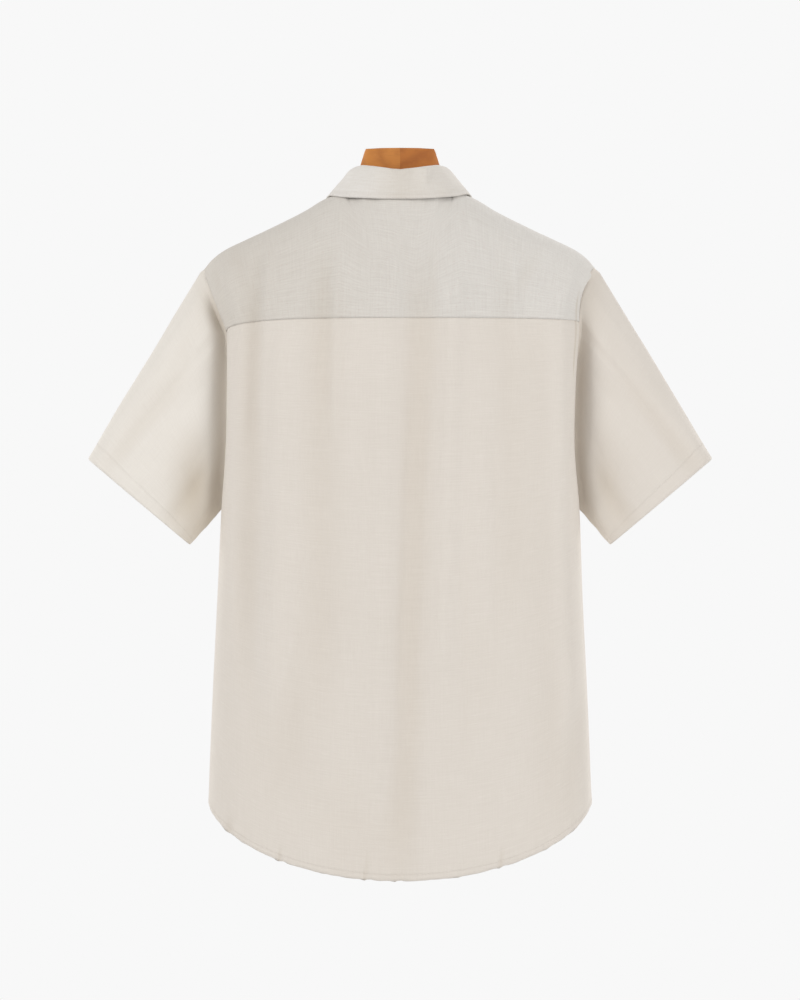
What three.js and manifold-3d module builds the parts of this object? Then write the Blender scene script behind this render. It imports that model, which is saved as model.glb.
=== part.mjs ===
import * as THREE from 'three';
import Module from 'manifold-3d';

// A woven short-sleeved polo shirt with a back yoke, hung on a wooden hanger. Millimetres, +Z up.
// +Y is the wearer's front and +X the wearer's right. The origin is the top of the hanger's block.
// "drop" is a distance below the origin, "across" one sideways, "forward" one towards +Y.

const clothWall = 1.5;
const hemWall = 2.4;
const seamGap = 0.36;
const columns = 32;
const neckColumns = 4;
const yokeRows = 8;
const shoulderRows = 7;
const sleeveRows = 9;
const ringSpacing = 5;
const bodyRoundness = 0.8;
const shoulderTip = 213;
const neckHalf = 60;
const tipDrop = 133;
const archDrop = 200;
const shoulderSeamForward = 9;
const shoulderBow = 12;
const underarmDrop = 388;
const sideHemDrop = 708;
const backHemDrop = 792;
const frontHemDrop = 782;
const hemCurve = 0.62;
const yokeSeamDrop = { left: 197.6, middle: 183, right: 187 };
const cuff = { outerAcross: 338, outerDrop: 336.5, innerAcross: 227.5, innerDrop: 429.5, depth: 30 };
const cuffForward = 8;
const cuffHem = 15;
const valley = { depth: 10, middle: 0.13, width: 0.12 };
const placket = { half: 16, top: 114, bottom: 292, wall: 1.2, slitHalf: 1, slitEnd: 276 };
const button = { radius: 5.75, height: 2.6, rim: 0.9, hole: 0.9, holeOffset: 1.6, sides: 20 };
const buttonDrops = { first: 134, step: 56, count: 3 };
const hanger = { halfThick: 7, endHalfThick: 11, bevel: 2.2 };

// Levels of the body below the shoulders, measured down the side seam.
const bodyLevels = [200, 225, 257, 297, 340, underarmDrop, 436, 490, 550, 610, 660, 697, sideHemDrop];

const bodyShape = [
  { drop: 200, left: 187, right: 193.5, back: -50, front: 60 },
  { drop: 255, left: 187, right: 189.8, back: -52, front: 62 },
  { drop: 325, left: 188.3, right: 188.6, back: -53, front: 63 },
  { drop: 391, left: 193, right: 194, back: -53, front: 63 },
  { drop: 489, left: 197.6, right: 197.6, back: -54, front: 62 },
  { drop: 597, left: 202.8, right: 202.8, back: -55, front: 60 },
  { drop: 705, left: 207, right: 207, back: -54, front: 58 },
  { drop: 800, left: 209, right: 209, back: -53, front: 56 },
];

// Where each half of the body turns round its side: the outline lies at turn, the edge at edge.
const backSide = [
  { drop: 200, turn: -6, edge: -6, tuck: 0, wrap: 0 },
  { drop: 225, turn: -9, edge: -1, tuck: 2, wrap: 0.08 },
  { drop: 255, turn: -10, edge: 3, tuck: 4, wrap: 0.12 },
  { drop: 330, turn: -9, edge: 6, tuck: 5, wrap: 0.12 },
  { drop: underarmDrop, turn: 4, edge: 14, tuck: 3, wrap: 0.08 },
  { drop: 436, turn: 12, edge: 12, tuck: 0, wrap: 0 },
  { drop: 800, turn: 6, edge: 6, tuck: 0, wrap: 0 },
];

const frontSide = [
  { drop: 200, turn: 34, edge: 34, tuck: 0, wrap: 0 },
  { drop: 225, turn: 37, edge: 33, tuck: 1, wrap: 0.06 },
  { drop: 255, turn: 38, edge: 32, tuck: 2, wrap: 0.08 },
  { drop: 330, turn: 34, edge: 26, tuck: 2.4, wrap: 0.08 },
  { drop: underarmDrop, turn: 22, edge: 14, tuck: 3, wrap: 0.08 },
  { drop: 436, turn: 12, edge: 12, tuck: 0, wrap: 0 },
  { drop: 800, turn: 6, edge: 6, tuck: 0, wrap: 0 },
];

const armhole = [
  { drop: 133, back: 12, front: 12 },
  { drop: 138, back: 5, front: 19 },
  { drop: 151, back: -4, front: 27 },
  { drop: 176, back: -9, front: 33 },
  { drop: 200, back: -6, front: 34 },
];

const ridge = [
  { across: 0, back: 5, front: 20 },
  { across: 20, back: 9, front: 24 },
  { across: 40, back: 27, front: 34 },
  { across: 60, back: 46, front: 46 },
  { across: 84, back: 57.2, front: 57.2 },
  { across: 101.5, back: 68, front: 68 },
  { across: 122.5, back: 78.8, front: 78.8 },
  { across: 144.7, back: 89.6, front: 89.6 },
  { across: 168, back: 100.4, front: 100.4 },
  { across: 190, back: 111.2, front: 111.2 },
  { across: 203.5, back: 121.5, front: 121.5 },
  { across: 213, back: 133, front: 133 },
];

// Stations round the collar, from the middle of the back (0) to the middle of the front (8).
const neckLine = [
  { at: 0, across: 0, forward: -31, drop: 52 },
  { at: 1, across: 20, forward: -29.5, drop: 51.7 },
  { at: 2, across: 39, forward: -24, drop: 50.6 },
  { at: 3, across: 54, forward: -10, drop: 49.2 },
  { at: 4, across: 60, forward: 9, drop: 47.8 },
  { at: 5, across: 45, forward: 35, drop: 71 },
  { at: 6, across: 30, forward: 46, drop: 92 },
  { at: 7, across: 15, forward: 51, drop: 105 },
  { at: 8, across: 0, forward: 52, drop: 110 },
];

const foldLine = [
  { at: 0, across: 0, forward: -33, drop: 23.8 },
  { at: 1, across: 15, forward: -31.5, drop: 22 },
  { at: 2, across: 30, forward: -26, drop: 19.8 },
  { at: 3, across: 43, forward: -15, drop: 18.6 },
  { at: 4, across: 51.5, forward: 8, drop: 21.5 },
  { at: 5, across: 46, forward: 34, drop: 45 },
  { at: 6, across: 33, forward: 46, drop: 64 },
  { at: 7, across: 18, forward: 53, drop: 77 },
  { at: 8, across: 3, forward: 55, drop: 83 },
];

const leafEdge = [
  { at: 0, across: 0, forward: -38, drop: 55.5 },
  { at: 1, across: 22, forward: -37, drop: 55.3 },
  { at: 2, across: 44, forward: -31, drop: 54.3 },
  { at: 3, across: 64, forward: -21, drop: 51.4 },
  { at: 4, across: 77, forward: 2, drop: 51 },
  { at: 5, across: 80, forward: 26, drop: 61 },
  { at: 6, across: 75, forward: 45, drop: 85 },
  { at: 7, across: 67, forward: 54, drop: 108 },
  { at: 8, across: 55, forward: 60, drop: 131 },
];

// Long soft folds. A depth above nought sinks into the shirt, one below nought stands out.
const backFolds = [
  { across: -192, drift: -6, width: 9, depth: -2.5, top: 215, end: 520 },
  { across: -157, drift: -10, width: 11, depth: 3.5, top: 190, end: 560 },
  { across: -128, drift: -12, width: 15, depth: -3, top: 200, end: 640 },
  { across: -82, drift: -8, width: 14, depth: 3.5, top: 130, end: 600 },
  { across: -17, drift: -6, width: 15, depth: -4, top: 160, end: 700 },
  { across: 24, drift: -22, width: 15, depth: 5.5, top: 150, end: 780 },
  { across: 58, drift: -8, width: 14, depth: -3, top: 150, end: 600 },
  { across: 116, drift: 6, width: 14, depth: 3, top: 120, end: 520 },
  { across: 150, drift: 8, width: 13, depth: -2.5, top: 150, end: 560 },
];

const frontFolds = [
  { across: -140, drift: -12, width: 15, depth: -3.5, top: 180, end: 640 },
  { across: -96, drift: -6, width: 13, depth: 4, top: 150, end: 600 },
  { across: -48, drift: 0, width: 14, depth: -3, top: 300, end: 760 },
  { across: 44, drift: 5, width: 15, depth: 4, top: 320, end: 770 },
  { across: 92, drift: 8, width: 14, depth: -3.5, top: 150, end: 640 },
  { across: 142, drift: 10, width: 14, depth: 3, top: 170, end: 560 },
];

const sleeveFolds = [
  { around: 0.14, start: 0.2, end: 1.1, width: 0.035, depth: 2 },
  { around: 0.26, start: 0.1, end: 0.9, width: 0.04, depth: -2.5 },
  { around: 0.36, start: 0.3, end: 1.1, width: 0.035, depth: 2.5 },
  { around: 0.72, start: 0.1, end: 1.1, width: 0.05, depth: -2.5 },
];

const hangerTop = [
  { across: 0, drop: 0 },
  { across: 20, drop: 0.2 },
  { across: 37.5, drop: 1.2 },
  { across: 43, drop: 19 },
  { across: 45, drop: 34 },
  { across: 47, drop: 47 },
  { across: 53, drop: 54 },
  { across: 66, drop: 57.2 },
  { across: 84, drop: 61.4 },
  { across: 101.5, drop: 72.2 },
  { across: 122.5, drop: 83 },
  { across: 144.7, drop: 93.8 },
  { across: 168, drop: 104.6 },
  { across: 188, drop: 114.6 },
  { across: 195, drop: 119.5 },
];

const hangerUnder = [
  { across: 196, drop: 128 },
  { across: 188, drop: 136 },
  { across: 168, drop: 130 },
  { across: 140, drop: 118 },
  { across: 110, drop: 104 },
  { across: 80, drop: 90 },
  { across: 50, drop: 78 },
  { across: 25, drop: 70 },
  { across: 0, drop: 66 },
];

const clothTone = { colour: 0xdad3c8, roughness: 0.86 };
const sleeveTone = { colour: 0xe2dcd2, roughness: 0.86 };
const collarTone = { colour: 0xdcd8d1, roughness: 0.84 };
const buttonTone = { colour: 0xe4dccb, roughness: 0.35 };
const woodTone = { colour: 0xb0703a, roughness: 0.42 };

const mix = (from, to, part) => from + (to - from) * part;
const clamp = (value, low, high) => Math.min(high, Math.max(low, value));

function ease(low, high, value) {
  const part = clamp((value - low) / (high - low), 0, 1);
  return part * part * (3 - 2 * part);
}

// A table read straight between its rows.
function straight(table, key, at, name) {
  const last = table.length - 1;
  let row = 0;
  while (row < last - 1 && at > table[row + 1][key]) {
    row += 1;
  }
  const part = clamp((at - table[row][key]) / (table[row + 1][key] - table[row][key]), 0, 1);
  return mix(table[row][name], table[row + 1][name], part);
}

// A table read as a smooth curve through its rows.
function smooth(table, key, at, name) {
  const last = table.length - 1;
  const slope = (row) => {
    const before = table[Math.max(0, row - 1)];
    const after = table[Math.min(last, row + 1)];
    return (after[name] - before[name]) / (after[key] - before[key]);
  };
  let row = 0;
  while (row < last - 1 && at > table[row + 1][key]) {
    row += 1;
  }
  const low = table[row];
  const high = table[row + 1];
  const span = high[key] - low[key];
  const part = clamp((at - low[key]) / span, 0, 1);
  const square = part * part;
  const cube = square * part;
  return low[name] * (2 * cube - 3 * square + 1)
    + high[name] * (3 * square - 2 * cube)
    + slope(row) * span * (cube - 2 * square + part)
    + slope(row + 1) * span * (cube - square);
}

// How far across the half width a column stands, and how deep the section is there.
function sideways(column) {
  return Math.sin(Math.PI / 2 * Math.min(1, column) ** 1.25) ** bodyRoundness;
}

function inward(column) {
  return Math.max(0, Math.cos(Math.PI / 2 * Math.min(1, column) ** 1.25)) ** bodyRoundness;
}

function foldAt(face, across, drop) {
  const folds = face === 'back' ? backFolds : frontFolds;
  const outward = face === 'back' ? 1 : -1;
  let depth = 0;
  for (const fold of folds) {
    const down = clamp((drop - fold.top) / (fold.end - fold.top), 0, 1);
    const offset = (across - fold.across - fold.drift * down) / fold.width;
    const along = ease(fold.top - 50, fold.top + 50, drop) * (1 - ease(fold.end - 90, fold.end + 60, drop));
    depth += fold.depth * along * Math.exp(-offset * offset);
  }
  return outward * depth;
}

// The straight part of the body. The column runs from -1 (left side) to 1 (right side).
function bodyPoint(face, column, drop) {
  const table = face === 'back' ? backSide : frontSide;
  const half = smooth(bodyShape, 'drop', drop, column < 0 ? 'left' : 'right');
  const deep = smooth(bodyShape, 'drop', drop, face);
  const turn = straight(table, 'drop', drop, 'turn');
  const edge = straight(table, 'drop', drop, 'edge');
  const tuck = straight(table, 'drop', drop, 'tuck');
  const wrap = straight(table, 'drop', drop, 'wrap');
  const reach = Math.abs(column) * (1 + wrap);
  let across = half * sideways(reach);
  let forward = turn + (deep - turn) * inward(reach);
  if (reach > 1) {
    const past = (reach - 1) / wrap;
    across = half - tuck * past * past;
    forward = mix(turn, edge, past);
  }
  const signed = Math.sign(column) * across;
  const calm = 1 - Math.abs(column) ** 10;
  return new THREE.Vector3(signed, forward + foldAt(face, signed, drop) * calm, -drop);
}

function ridgeAcross(column) {
  const neckEdge = sideways(neckColumns / (columns / 2));
  const here = sideways(Math.abs(column));
  if (here <= neckEdge) {
    return neckHalf * here / neckEdge;
  }
  return mix(neckHalf, shoulderTip, (here - neckEdge) / (1 - neckEdge));
}

// The shoulder arch. The turn goes from 0 on the ridge to 1 where the body hangs straight.
function archPoint(face, column, turn) {
  const angle = turn * Math.PI / 2;
  const level = Math.cos(angle);
  const spread = Math.sin(angle);
  const side = Math.sign(column);
  const top = ridgeAcross(column);
  const ridgeDrop = smooth(ridge, 'across', top, face);
  const drop = mix(archDrop, ridgeDrop, level);
  const base = bodyPoint(face, column, archDrop);
  const baseFold = foldAt(face, base.x, archDrop) * (1 - Math.abs(column) ** 10);
  const power = column > 0 ? 1 + 3 * Math.abs(column) ** 6 : 1;
  const across = mix(base.x, side * top, level ** power);
  const ridgeForward = shoulderBow * (top / shoulderTip) ** 2;
  let forward = mix(ridgeForward, base.y - baseFold, spread);
  const edgeForward = smooth(armhole, 'drop', Math.max(drop, tipDrop), face);
  forward += (edgeForward - forward) * Math.abs(column) ** 12;
  const calm = spread * (1 - Math.abs(column) ** 10);
  return new THREE.Vector3(across, forward + foldAt(face, across, drop) * calm, -drop);
}

function turnAtDrop(face, column, drop) {
  const ridgeDrop = smooth(ridge, 'across', ridgeAcross(column), face);
  return Math.acos(clamp((archDrop - drop) / (archDrop - ridgeDrop), 0, 1)) * 2 / Math.PI;
}

// The turn at which a column stands so far forward: above nought behind the ridge, below it in front.
function turnAtForward(column, forward) {
  const ridgeForward = shoulderBow * (ridgeAcross(column) / shoulderTip) ** 2;
  const face = forward > ridgeForward ? 'front' : 'back';
  const base = bodyPoint(face, column, archDrop);
  const part = clamp((forward - ridgeForward) / (base.y - ridgeForward), 0, 1);
  return (face === 'front' ? -1 : 1) * Math.asin(part) * 2 / Math.PI;
}

function yokeSeamAt(column) {
  const end = column < 0 ? yokeSeamDrop.left : yokeSeamDrop.right;
  return mix(yokeSeamDrop.middle, end, Math.abs(column) ** 3);
}

// The yoke runs from its back seam (row 0) over the ridge to the shoulder seam or the neck (row 1).
function yokePoint(column, row) {
  const across = ridgeAcross(column);
  const start = turnAtDrop('back', column, yokeSeamAt(column) - seamGap / 2);
  const atNeck = across <= neckHalf + 0.01;
  const station = neckColumns * across / neckHalf;
  const corner = across > neckHalf - 1;
  const forward = atNeck ? straight(neckLine, 'at', station, 'forward') : seamForward(column);
  const spare = atNeck && !corner ? 0 : seamGap / 2 + 0.9 * Math.abs(column) ** 8;
  const end = turnAtForward(column, forward - spare);
  const turn = mix(start, end, row);
  const point = turn >= 0 ? archPoint('back', column, turn) : archPoint('front', column, -turn);
  if (atNeck) {
    const target = neckPoint(Math.sign(column) || 1, station);
    target.y -= corner ? seamGap / 2 : 0;
    const last = end >= 0 ? archPoint('back', column, end) : archPoint('front', column, -end);
    point.addScaledVector(target.sub(last), ease(0.35, 1, row));
  }
  return point;
}

// The shoulder seam stands a little in front of the ridge and meets it at the shoulder's tip.
function seamForward(column) {
  const across = ridgeAcross(column);
  const part = across / shoulderTip;
  return shoulderBow * part ** 2 + shoulderSeamForward * (1 - part ** 6);
}

function neckPoint(side, station) {
  return new THREE.Vector3(
    side * straight(neckLine, 'at', station, 'across'),
    straight(neckLine, 'at', station, 'forward'),
    -straight(neckLine, 'at', station, 'drop'),
  );
}

function frontTopPoint(column, row) {
  const across = ridgeAcross(column);
  const atNeck = across <= neckHalf + 0.01;
  const station = 2 * neckColumns - neckColumns * across / neckHalf;
  const forward = atNeck
    ? straight(neckLine, 'at', station, 'forward')
    : seamForward(column);
  const spare = 0.34 + 2.4 * Math.abs(column) ** 8;
  const start = Math.max(0, -turnAtForward(column, forward + seamGap / 2 + spare));
  const point = archPoint('front', column, mix(start, 1, row));
  if (atNeck) {
    const target = neckPoint(Math.sign(column) || 1, station);
    target.y += across > neckHalf - 1 ? seamGap / 2 + spare : 0;
    const first = archPoint('front', column, start);
    point.addScaledVector(target.sub(first), 1 - ease(0, 0.65, row));
  }
  return point;
}

function hemAt(face, column) {
  const low = face === 'back' ? backHemDrop : frontHemDrop;
  const out = clamp(sideways(Math.abs(column)), 0, 1);
  return mix(low, sideHemDrop, 1 - (1 - out * out) ** hemCurve);
}

function bodyLevel(face, column, level) {
  const part = (level - archDrop) / (sideHemDrop - archDrop);
  return bodyPoint(face, column, mix(archDrop, hemAt(face, column), part));
}

// The side seam is left open by half the gap on each half of the body, and more under the arm.
function bodyRowPoint(face, column, level) {
  const point = bodyLevel(face, column, level);
  const seam = ease(340, underarmDrop, level) * Math.abs(column) ** 40;
  const underarm = 0.9 * Math.exp(-(((level - underarmDrop) / 30) ** 2));
  point.y += (face === 'back' ? -1 : 1) * (0.9 * seamGap + underarm) * seam;
  return point;
}

function backGrid() {
  const rows = [];
  const seamRow = [];
  for (let step = 0; step <= columns; step += 1) {
    const column = 2 * step / columns - 1;
    const turn = turnAtDrop('back', column, yokeSeamAt(column) + seamGap / 2);
    seamRow.push(archPoint('back', column, turn));
  }
  rows.push(seamRow);
  for (const level of bodyLevels) {
    rows.push(columnPoints((column) => bodyRowPoint('back', column, level)));
  }
  return rows;
}

function frontGrid() {
  const rows = [];
  for (let row = 0; row < shoulderRows; row += 1) {
    rows.push(columnPoints((column) => frontTopPoint(column, row / shoulderRows)));
  }
  for (const level of bodyLevels) {
    rows.push(columnPoints((column) => bodyRowPoint('front', column, level)));
  }
  return rows;
}

function yokeGrid() {
  const rows = [];
  for (let row = 0; row <= yokeRows; row += 1) {
    rows.push(columnPoints((column) => yokePoint(column, row / yokeRows)));
  }
  return rows;
}

function columnPoints(make) {
  const points = [];
  for (let step = 0; step <= columns; step += 1) {
    points.push(make(2 * step / columns - 1));
  }
  return points;
}

// Normals of a grid of points, taken from its neighbours; closed grids run round their columns.
function gridNormals(grid, closed) {
  const wide = grid[0].length;
  return grid.map((line, row) => line.map((point, step) => {
    const above = grid[Math.max(0, row - 1)][step];
    const below = grid[Math.min(grid.length - 1, row + 1)][step];
    const before = closed ? line[(step + wide - 1) % wide] : line[Math.max(0, step - 1)];
    const after = closed ? line[(step + 1) % wide] : line[Math.min(wide - 1, step + 1)];
    const down = below.clone().sub(above);
    const along = after.clone().sub(before);
    return down.cross(along).normalize();
  }));
}

// A closed cloth wall round a grid of middle points. The wall function gives each row its thickness.
function clothSolid(grid, wallAt, closed = false, lift = 0) {
  const normals = gridNormals(grid, closed);
  const high = grid.length;
  const wide = grid[0].length;
  const spots = [];
  const faces = [];
  for (const side of [1, -1]) {
    grid.forEach((line, row) => line.forEach((point, step) => {
      const shift = lift + side * wallAt(row, step) / 2;
      const spot = point.clone().addScaledVector(normals[row][step], shift);
      spots.push(spot.x, spot.y, spot.z);
    }));
  }
  const outer = (row, step) => row * wide + (step % wide);
  const inner = (row, step) => high * wide + outer(row, step);
  const quad = (a, b, c, d) => faces.push(a, b, c, a, c, d);
  const spans = closed ? wide : wide - 1;
  for (let row = 0; row < high - 1; row += 1) {
    for (let step = 0; step < spans; step += 1) {
      quad(outer(row, step), outer(row + 1, step), outer(row + 1, step + 1), outer(row, step + 1));
      quad(inner(row, step), inner(row, step + 1), inner(row + 1, step + 1), inner(row + 1, step));
    }
  }
  for (let step = 0; step < spans; step += 1) {
    quad(outer(0, step), outer(0, step + 1), inner(0, step + 1), inner(0, step));
    const end = high - 1;
    quad(outer(end, step + 1), outer(end, step), inner(end, step), inner(end, step + 1));
  }
  if (!closed) {
    for (let row = 0; row < high - 1; row += 1) {
      const end = wide - 1;
      quad(outer(row + 1, 0), outer(row, 0), inner(row, 0), inner(row + 1, 0));
      quad(outer(row, end), outer(row + 1, end), inner(row + 1, end), inner(row, end));
    }
  }
  return { spots, faces };
}

function outwardSolid({ spots, faces }) {
  const corner = (index) => new THREE.Vector3().fromArray(spots, 3 * index);
  let volume = 0;
  for (let index = 0; index < faces.length; index += 3) {
    const second = corner(faces[index + 1]);
    volume += corner(faces[index]).dot(second.cross(corner(faces[index + 2])));
  }
  if (volume < 0) {
    for (let index = 0; index < faces.length; index += 3) {
      [faces[index], faces[index + 1]] = [faces[index + 1], faces[index]];
    }
  }
  return { spots, faces };
}

function geometryFrom({ spots, faces }) {
  const geometry = new THREE.BufferGeometry();
  geometry.setAttribute('position', new THREE.Float32BufferAttribute(spots, 3));
  geometry.setIndex(faces);
  geometry.computeVertexNormals();
  return geometry;
}

function part(name, geometry, tone) {
  const material = new THREE.MeshStandardMaterial({
    color: tone.colour,
    roughness: tone.roughness,
    metalness: 0,
  });
  const mesh = new THREE.Mesh(geometry, material);
  mesh.name = name;
  return mesh;
}

const wasm = await Module();
wasm.setup();

function manifoldFrom({ spots, faces }) {
  const mesh = new wasm.Mesh({
    numProp: 3,
    vertProperties: new Float32Array(spots),
    triVerts: new Uint32Array(faces),
  });
  return new wasm.Manifold(mesh);
}

function solidFromManifold(body) {
  const mesh = body.getMesh();
  return { spots: Array.from(mesh.vertProperties), faces: Array.from(mesh.triVerts) };
}

function solidFromGeometry(geometry) {
  const source = geometry.index ? geometry.toNonIndexed() : geometry;
  const position = source.getAttribute('position');
  const seen = new Map();
  const spots = [];
  const faces = [];
  for (let index = 0; index < position.count; index += 1) {
    const spot = [position.getX(index), position.getY(index), position.getZ(index)];
    const key = spot.map((value) => Math.round(value * 1e4)).join(' ');
    if (!seen.has(key)) {
      seen.set(key, spots.length / 3);
      spots.push(...spot);
    }
    faces.push(seen.get(key));
  }
  const kept = [];
  for (let index = 0; index < faces.length; index += 3) {
    const [a, b, c] = faces.slice(index, index + 3);
    if (a !== b && b !== c && c !== a) {
      kept.push(a, b, c);
    }
  }
  return { spots, faces: kept };
}

// The armhole's ring: down the back edges of yoke and back panel, up the front panel's edge.
function armholeRing(side) {
  const edges = [];
  const add = (point, nearer) => {
    edges.push({ point, tangent: point.clone().sub(nearer).normalize(), extra: 0 });
  };
  const near = (1 - 2 / columns) * side;
  const armLevels = bodyLevels.filter((level) => level < underarmDrop);
  for (let row = yokeRows; row >= 0; row -= 1) {
    add(yokePoint(side, row / yokeRows), yokePoint(near, row / yokeRows));
  }
  for (const level of armLevels) {
    add(bodyRowPoint('back', side, level), bodyRowPoint('back', near, level));
  }
  const underarm = bodyPoint('back', side, underarmDrop);
  add(underarm, bodyPoint('back', near, underarmDrop));
  for (const level of armLevels.reverse()) {
    add(bodyRowPoint('front', side, level), bodyRowPoint('front', near, level));
  }
  for (let row = shoulderRows - 1; row > 0; row -= 1) {
    add(frontTopPoint(side, row / shoulderRows), frontTopPoint(near, row / shoulderRows));
  }
  return spacedRing(edges, underarm, side);
}

// The ring's points stand at least a stitch's length apart, from the highest one round.
function spacedRing(edges, underarm, side) {
  const heights = edges.map((edge) => edge.point.z);
  const highest = heights.indexOf(Math.max(...heights));
  const turned = [...edges.slice(highest), ...edges.slice(0, highest)];
  const ring = turned.filter((edge, index) => {
    const toTop = edge.point.distanceTo(turned[0].point);
    const toBefore = index > 0 ? edge.point.distanceTo(turned[index - 1].point) : ringSpacing;
    return index === 0 || (toTop > ringSpacing && toBefore > ringSpacing);
  });
  const count = ring.length;
  const last = ring.findIndex((edge) => edge.point === underarm);
  ring.forEach((edge, index) => {
    const before = ring[(index + count - 1) % count].point;
    const after = ring[(index + 1) % count].point;
    const along = after.clone().sub(before).normalize();
    edge.tangent.addScaledVector(along, -edge.tangent.dot(along)).normalize();
    edge.extra = Math.abs(index - last) === 1 ? 1.4 : 0;
  });
  ring[last].tangent.set(side, 0, -0.1).normalize();
  ring[last].extra = 1.3;
  return { edges: ring, lowest: last };
}

function cuffPoint(side, around) {
  const angle = around * 2 * Math.PI;
  const along = Math.cos(angle);
  const deep = Math.sin(angle);
  const length = Math.sign(along) * Math.abs(along) ** 0.9;
  const depth = Math.sign(deep) * Math.abs(deep) ** 0.85;
  const part = (1 - length) / 2;
  return new THREE.Vector3(
    side * mix(cuff.outerAcross, cuff.innerAcross, part),
    cuffForward - cuff.depth * depth,
    -mix(cuff.outerDrop, cuff.innerDrop, part),
  );
}

function sleeveGrid(side) {
  const { edges, lowest } = armholeRing(side);
  const count = edges.length;
  const walked = [0];
  for (let index = 1; index <= count; index += 1) {
    const step = edges[index % count].point.distanceTo(edges[index - 1].point);
    walked.push(walked[index - 1] + step);
  }
  const around = edges.map((edge, index) => (index <= lowest
    ? 0.5 * walked[index] / walked[lowest]
    : 0.5 + 0.5 * (walked[index] - walked[lowest]) / (walked[count] - walked[lowest])));
  const grid = [];
  for (let row = 0; row <= sleeveRows; row += 1) {
    const along = row < sleeveRows
      ? row / (sleeveRows - 1) * (1 - cuffHem / 220)
      : 1;
    grid.push(edges.map((edge, index) => {
      const end = cuffPoint(side, around[index]);
      const reach = end.clone().sub(edge.point).normalize();
      const turn = Math.sqrt(Math.max(0, 1 - reach.dot(edge.tangent) ** 2));
      const start = edge.point.clone().addScaledVector(edge.tangent, 1.7 * seamGap + 0.9 * turn);
      start.x += side * edge.extra;
      const point = start.lerp(end, along);
      const drop = -edge.point.z;
      const sink = valley.depth * Math.exp(-(((along - valley.middle) / valley.width) ** 2));
      const low = ease(185, 240, drop) * (1 - ease(290, 360, drop));
      point.y += (around[index] < 0.5 ? sink : -sink) * low * ease(0, 0.05, along);
      point.y += sleeveFoldAt(around[index], along);
      return point;
    }));
  }
  return grid;
}

function sleeveFoldAt(around, along) {
  let depth = 0;
  for (const fold of sleeveFolds) {
    const offset = (around - fold.around) / fold.width;
    const part = ease(fold.start, fold.start + 0.35, along) * (1 - ease(fold.end - 0.3, fold.end, along));
    depth += fold.depth * part * Math.exp(-offset * offset);
  }
  return around < 0.5 ? depth : -depth;
}

function collarPoint(table, side, station) {
  return new THREE.Vector3(
    side * smooth(table, 'at', station, 'across'),
    smooth(table, 'at', station, 'forward'),
    -smooth(table, 'at', station, 'drop'),
  );
}

// The level direction pointing out of the neck at a station.
function outOfNeck(side, station) {
  const before = collarPoint(foldLine, side, Math.max(0, station - 0.2));
  const after = collarPoint(foldLine, side, Math.min(8, station + 0.2));
  const along = after.sub(before);
  return new THREE.Vector3(along.y, -along.x, 0).normalize().multiplyScalar(side);
}

function standPoint(side, station, up) {
  const out = outOfNeck(side, station);
  const foot = neckPoint(side, station).addScaledVector(out, -1.1);
  foot.z += 0.9;
  const top = collarPoint(foldLine, side, station);
  top.z -= 3.6;
  return foot.lerp(top, up);
}

function leafPoint(side, station, part) {
  const out = outOfNeck(side, station);
  const start = standPoint(side, station, 1);
  start.z += 1.2;
  const rise = start.clone().addScaledVector(out, 0.6);
  rise.z += 5;
  const over = start.clone().addScaledVector(out, 8);
  over.z += 3.2;
  const end = collarPoint(leafEdge, side, station);
  const curve = new THREE.CubicBezierCurve3(start, rise, over, end);
  return curve.getPoint(part);
}

function collarStations(last) {
  const stations = [];
  const count = 16;
  for (let step = -count; step <= count; step += 1) {
    const side = step < 0 ? -1 : 1;
    const station = Math.min(8 * Math.abs(step) / count, last);
    stations.push({ side, station });
  }
  return stations;
}

function collarGrid(make, parts, last) {
  return parts.map((level) => collarStations(last).map(({ side, station }) => make(side, station, level)));
}

// The column of the front panel that stands over a place across it.
function frontColumn(across, level) {
  let low = -1;
  let high = 1;
  for (let round = 0; round < 40; round += 1) {
    const middle = (low + high) / 2;
    if (frontSpot(middle, level).x < across) {
      low = middle;
    } else {
      high = middle;
    }
  }
  return (low + high) / 2;
}

function frontSpot(column, level) {
  if (level < archDrop) {
    return archPoint('front', column, turnAtDrop('front', column, level));
  }
  return bodyPoint('front', column, level);
}

function placketGrid(half, top, bottom) {
  const grid = [];
  const count = 9;
  for (let row = 0; row <= count; row += 1) {
    const level = mix(top, bottom, row / count);
    const line = [];
    for (const across of [-half, -half / 2, 0, half / 2, half]) {
      line.push(frontSpot(frontColumn(across, level), level));
    }
    grid.push(line);
  }
  return grid;
}

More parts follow.
